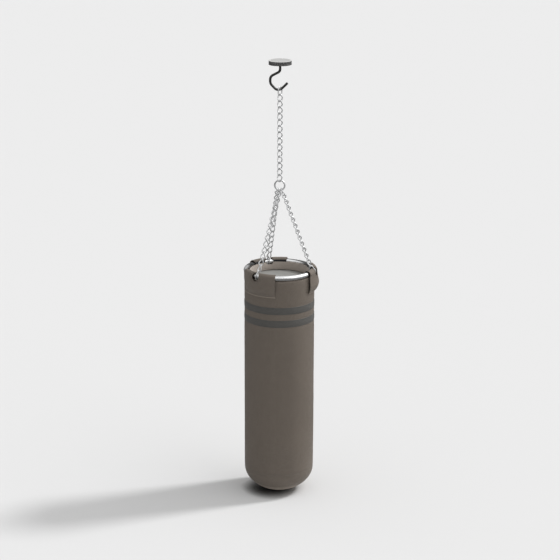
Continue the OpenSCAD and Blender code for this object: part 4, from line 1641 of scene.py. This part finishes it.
# ---------------------------------------------------------------- what is inside
def build_filling():
    """Packed filling: a lumpy cylinder with dimpled ends."""
    low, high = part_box("filling")
    fill_r = high.y
    rows, cols = 90, 96
    end = 4 * MM
    verts = []
    for i in range(rows + 1):
        z = high.z - end + (low.z + end - high.z + end) * i / rows
        edge = min(1.0, min(i, rows - i) / 3.0)
        for j in range(cols):
            azim = azimuth(j, cols)
            x, y, _ = polar_point(fill_r, azim, z)
            dent = 3.5 * MM * (0.5 + 0.5 * wobble(x, y, z, scale=22.0, seed=1.5))
            dent += 2.2 * MM * abs(wobble(x, y, z, scale=60.0, seed=2.5))
            radius = fill_r - 0.5 * MM - dent - (1 - edge) * 0.010
            verts.append(polar_point(radius, azim, z))
    faces = [quad(j, (j + 1) % cols, i * cols, (i + 1) * cols)
             for i in range(rows) for j in range(cols)]
    for row, z_end, inward in ((0, high.z, -1), (rows, low.z, 1)):
        outer = row * cols
        for ring in range(1, 8):
            inner = len(verts)
            radius = (fill_r - 0.016) * (1 - ring / 8)
            for j in range(cols):
                x, y, _ = polar_point(radius, azimuth(j, cols), z_end)
                lump = 0.5 + 0.5 * wobble(x, y, z_end, scale=26.0, seed=3.0)
                verts.append((x, y, z_end + inward * (1.2 * MM + 1.8 * MM * lump)))
            faces += [quad(outer, inner, j, (j + 1) % cols)[::-inward] for j in range(cols)]
            outer = inner
        centre = len(verts)
        verts.append((0, 0, z_end + inward * 2 * MM))
        faces += [(outer + j, outer + (j + 1) % cols, centre)[::-inward] for j in range(cols)]
    bag_piece("packed_filling", verts, faces, M_SHRED, "shredded_textile", "filling")


def build_foam_wrap():
    """Foam sheet wrapped round the filling, its ends meeting opposite the back seam."""
    low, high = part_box("foam_liner")
    outer_r, inner_r = high.y - 0.3 * MM, WALL_IN - 18 * MM
    cols, rows = 120, 60
    uneven = 0.8 * MM
    gap = 4 * MM / outer_r
    levels = [high.z - 0.5 * MM + (low.z - high.z + 1 * MM) * i / rows for i in range(rows + 1)]
    verts = []
    for j in range(cols + 1):
        azim = SEAM_AZ + math.pi + gap + (2 * math.pi - 2 * gap) * j / cols
        for z in levels:
            lump = 0.5 + 0.5 * ring_wobble(azim, 1, z, scale=5.0)
            verts.append(polar_point(outer_r - uneven * lump, azim, z))
        for z in reversed(levels):
            lump = 0.5 + 0.5 * ring_wobble(azim, 1, z, scale=9.0, seed=4.0)
            verts.append(polar_point(inner_r + uneven * lump, azim, z))
    sides = 2 * (rows + 1)
    faces = tube_faces(cols + 1, sides, "open")
    last = cols * sides
    for i in range(rows):
        facing = sides - 1 - i
        faces.append((i + 1, i, facing, facing - 1))
        faces.append((last + i, last + i + 1, last + facing - 1, last + facing))
    bag_piece("foam_wrap", verts, faces, M_FOAM, "foam", "foam_liner", sharp=50)


def build_bottom_cushion():
    """Foam cushion that fills the dome up to a flat top."""
    cols = 120
    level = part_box("bottom_pad")[1].z - 1 * MM
    z_edge = Z_DOME - 0.6 * MM
    profile = [(radius, z_edge + drop) for radius, drop
               in dome_profile(WALL_IN - 0.8 * MM, DOME_H - COVER_T - 1.6 * MM)]
    below = [(radius, z) for radius, z in profile if z <= level]
    # start where the dome meets the flat top
    for (radius, z), (next_r, next_z) in zip(profile, profile[1:]):
        if z > level >= next_z:
            share = (z - level) / (z - next_z)
            below.insert(0, (radius + (next_r - radius) * share, level))
            break
    top_r = below[0][0]
    # the top sinks a little inside its edge and round its centre
    section = [(top_r * (1 - share), level - (1.5 * MM if 0.05 < share < 0.95 else 0.0))
               for share in (0.97, 0.8, 0.6, 0.4, 0.2, 0.08, 0.03)]
    section += below[:-1]
    verts, faces = [], []
    for j in range(cols):
        azim = azimuth(j, cols)
        for radius, z in section:
            lump = 0.5 + 0.5 * ring_wobble(azim, 2, z, scale=6.0)
            shift = 0.6 * MM * lump * min(1, radius / 0.05)
            verts.append(polar_point(radius - shift, azim, z))
    top, tip = len(verts), len(verts) + 1
    verts += [(0, 0, level - 1.5 * MM), (0, 0, profile[-1][1])]
    sides = len(section)
    for j in range(cols):
        start, after = j * sides, (j + 1) % cols * sides
        faces += [quad(start, after, i, i + 1) for i in range(sides - 1)]
        faces.append((top, start, after))
        faces.append((tip, after + sides - 1, start + sides - 1))
    bag_piece("bottom_cushion", verts, faces, M_FOAM, "foam", "bottom_pad", sharp=50)


build_filling()
build_foam_wrap()
build_bottom_cushion()
bpy.data.objects.remove(body)


# ---------------------------------------------------------------- floor, light and camera
def floor_material():
    """Matt floor with a contact shade that only the camera sees, so bounced light doesn't
    lose it twice. Shiny pieces far above it mirror a dim room instead."""
    gray = (0.74, 0.74, 0.74)
    mat = Mat("floor")
    # the shade is leant towards the sun, so the lit side stays clear
    lean = mat.combine(0.72 * math.cos(SUN_AZ), 0.72 * math.sin(SUN_AZ), 0.69)
    contact = mat.node("AmbientOcclusion", {"Distance": 0.095, "Normal": lean}, samples=8)
    path = mat.node("LightPath").outputs
    clear = mat.remap(contact.outputs["AO"], low=0.13, high=0.71, smooth=False)
    contrast = 1.5
    shaded = mat.mix(mat.math("POWER", clear, contrast), (0.0, 0.0, 0.0), gray)
    mat.set(color=mat.mix(path["Is Camera Ray"], gray, shaded), rough=0.9, spec=0.0)
    dim = mat.node("Emission", {"Color": (1, 1, 1), "Strength": 0.17}).outputs[0]
    far = mat.mul(path["Is Glossy Ray"], mat.remap(path["Ray Length"], low=0.35, high=0.7))
    swap = mat.node("MixShader", {0: far, 1: mat.bsdf.outputs[0], 2: dim})
    mat.put(mat.out.inputs[0], swap.outputs[0])
    return mat.material


def build_floor():
    cols, radii = 64, [2.0, 6.0, 20.0, 60.0, 160.0]
    verts = [(0, 0, Z_BOTTOM)]
    verts += [polar_point(radius, azimuth(j, cols), Z_BOTTOM)
              for radius in radii for j in range(cols)]
    faces = [(0, 1 + j, 1 + (j + 1) % cols) for j in range(cols)]
    faces += [quad(j, (j + 1) % cols, 1 + i * cols, 1 + (i + 1) * cols)
              for i in range(len(radii) - 1) for j in range(cols)]
    make_object("studio_floor", verts, faces, floor_material(), smooth=False)


def build_sun(name, energy, spread, azim, elevation):
    light = bpy.data.lights.new(name, "SUN")
    light.energy = energy
    light.angle = math.radians(spread)
    obj = bpy.data.objects.new(name, light)
    SCENE.collection.objects.link(obj)
    towards = Vector(polar_point(math.cos(elevation), azim, math.sin(elevation)))
    obj.rotation_mode = "QUATERNION"
    obj.rotation_quaternion = towards.to_track_quat("Z", "Y")


def build_world():
    """Soft ambient light, a plain backdrop, and a separate room for shiny pieces to mirror."""
    world = bpy.data.worlds.new("studio")
    SCENE.world = world
    world.use_nodes = True
    graph = Graph(world.node_tree)
    height = graph.xyz(graph.node("TexCoord").outputs["Generated"])[2]
    path = graph.node("LightPath").outputs

    def background(color, strength=1.0):
        return graph.node("Background", {"Color": color, "Strength": strength}).outputs[0]

    def choose(mask, otherwise, chosen):
        return graph.node("MixShader", {0: mask, 1: otherwise, 2: chosen}).outputs[0]

    ambient = background((1, 1, 1), graph.remap(height, low=-0.05, high=0.9,
                                                start=0.30, end=0.69))
    # mirrored room: dark up to the horizon, a bright soft box overhead
    half_height = graph.math("MULTIPLY_ADD", height, 0.5, 0.5)
    levels = graph.node("ValToRGB", {0: half_height})
    levels.color_ramp.interpolation = "EASE"
    elements = levels.color_ramp.elements
    for position, level in ((0.50, 0.18), (0.60, 0.34), (0.78, 0.86)):
        elements.new(position).color = (level, level, level, 1)
    elements[0].color = (0.24, 0.24, 0.24, 1)
    elements[-1].color = (1, 1, 1, 1)
    lighting = choose(path["Is Glossy Ray"], ambient, background(levels.outputs[0]))
    seen = choose(path["Is Camera Ray"], lighting, background((0.839, 0.839, 0.839)))
    graph.node("OutputWorld", {0: seen})


def build_camera():
    azim, elevation, distance = math.radians(10.0), math.radians(16.0), 10.10
    roll = math.radians(0.19)
    target = Vector((0, 0, -1.1365))
    lens = bpy.data.cameras.new("camera")
    camera = bpy.data.objects.new("camera", lens)
    SCENE.collection.objects.link(camera)
    # azim is measured from the front, -y, towards the right
    back = Vector((math.sin(azim) * math.cos(elevation),
                   -math.cos(azim) * math.cos(elevation), math.sin(elevation)))
    camera.location = target + back * distance
    camera.rotation_mode = "QUATERNION"
    aim = (-back).to_track_quat("-Z", "Y")
    camera.rotation_quaternion = aim @ Quaternion((0, 0, 1), roll)
    lens.sensor_width = 36
    lens.lens = 126.6
    lens.shift_x = 0.0010
    lens.clip_start, lens.clip_end = 0.1, 400
    SCENE.camera = camera


build_floor()
build_sun("key", energy=1.70, spread=9.0, azim=SUN_AZ, elevation=SUN_EL)
build_sun("fill", energy=0.90, spread=80, azim=math.radians(-4), elevation=math.radians(35))
build_world()
SCENE.view_settings.view_transform = "Standard"
SCENE.view_settings.look = "None"
SCENE.view_settings.exposure = 0.0
SCENE.view_settings.gamma = 1.0
build_camera()
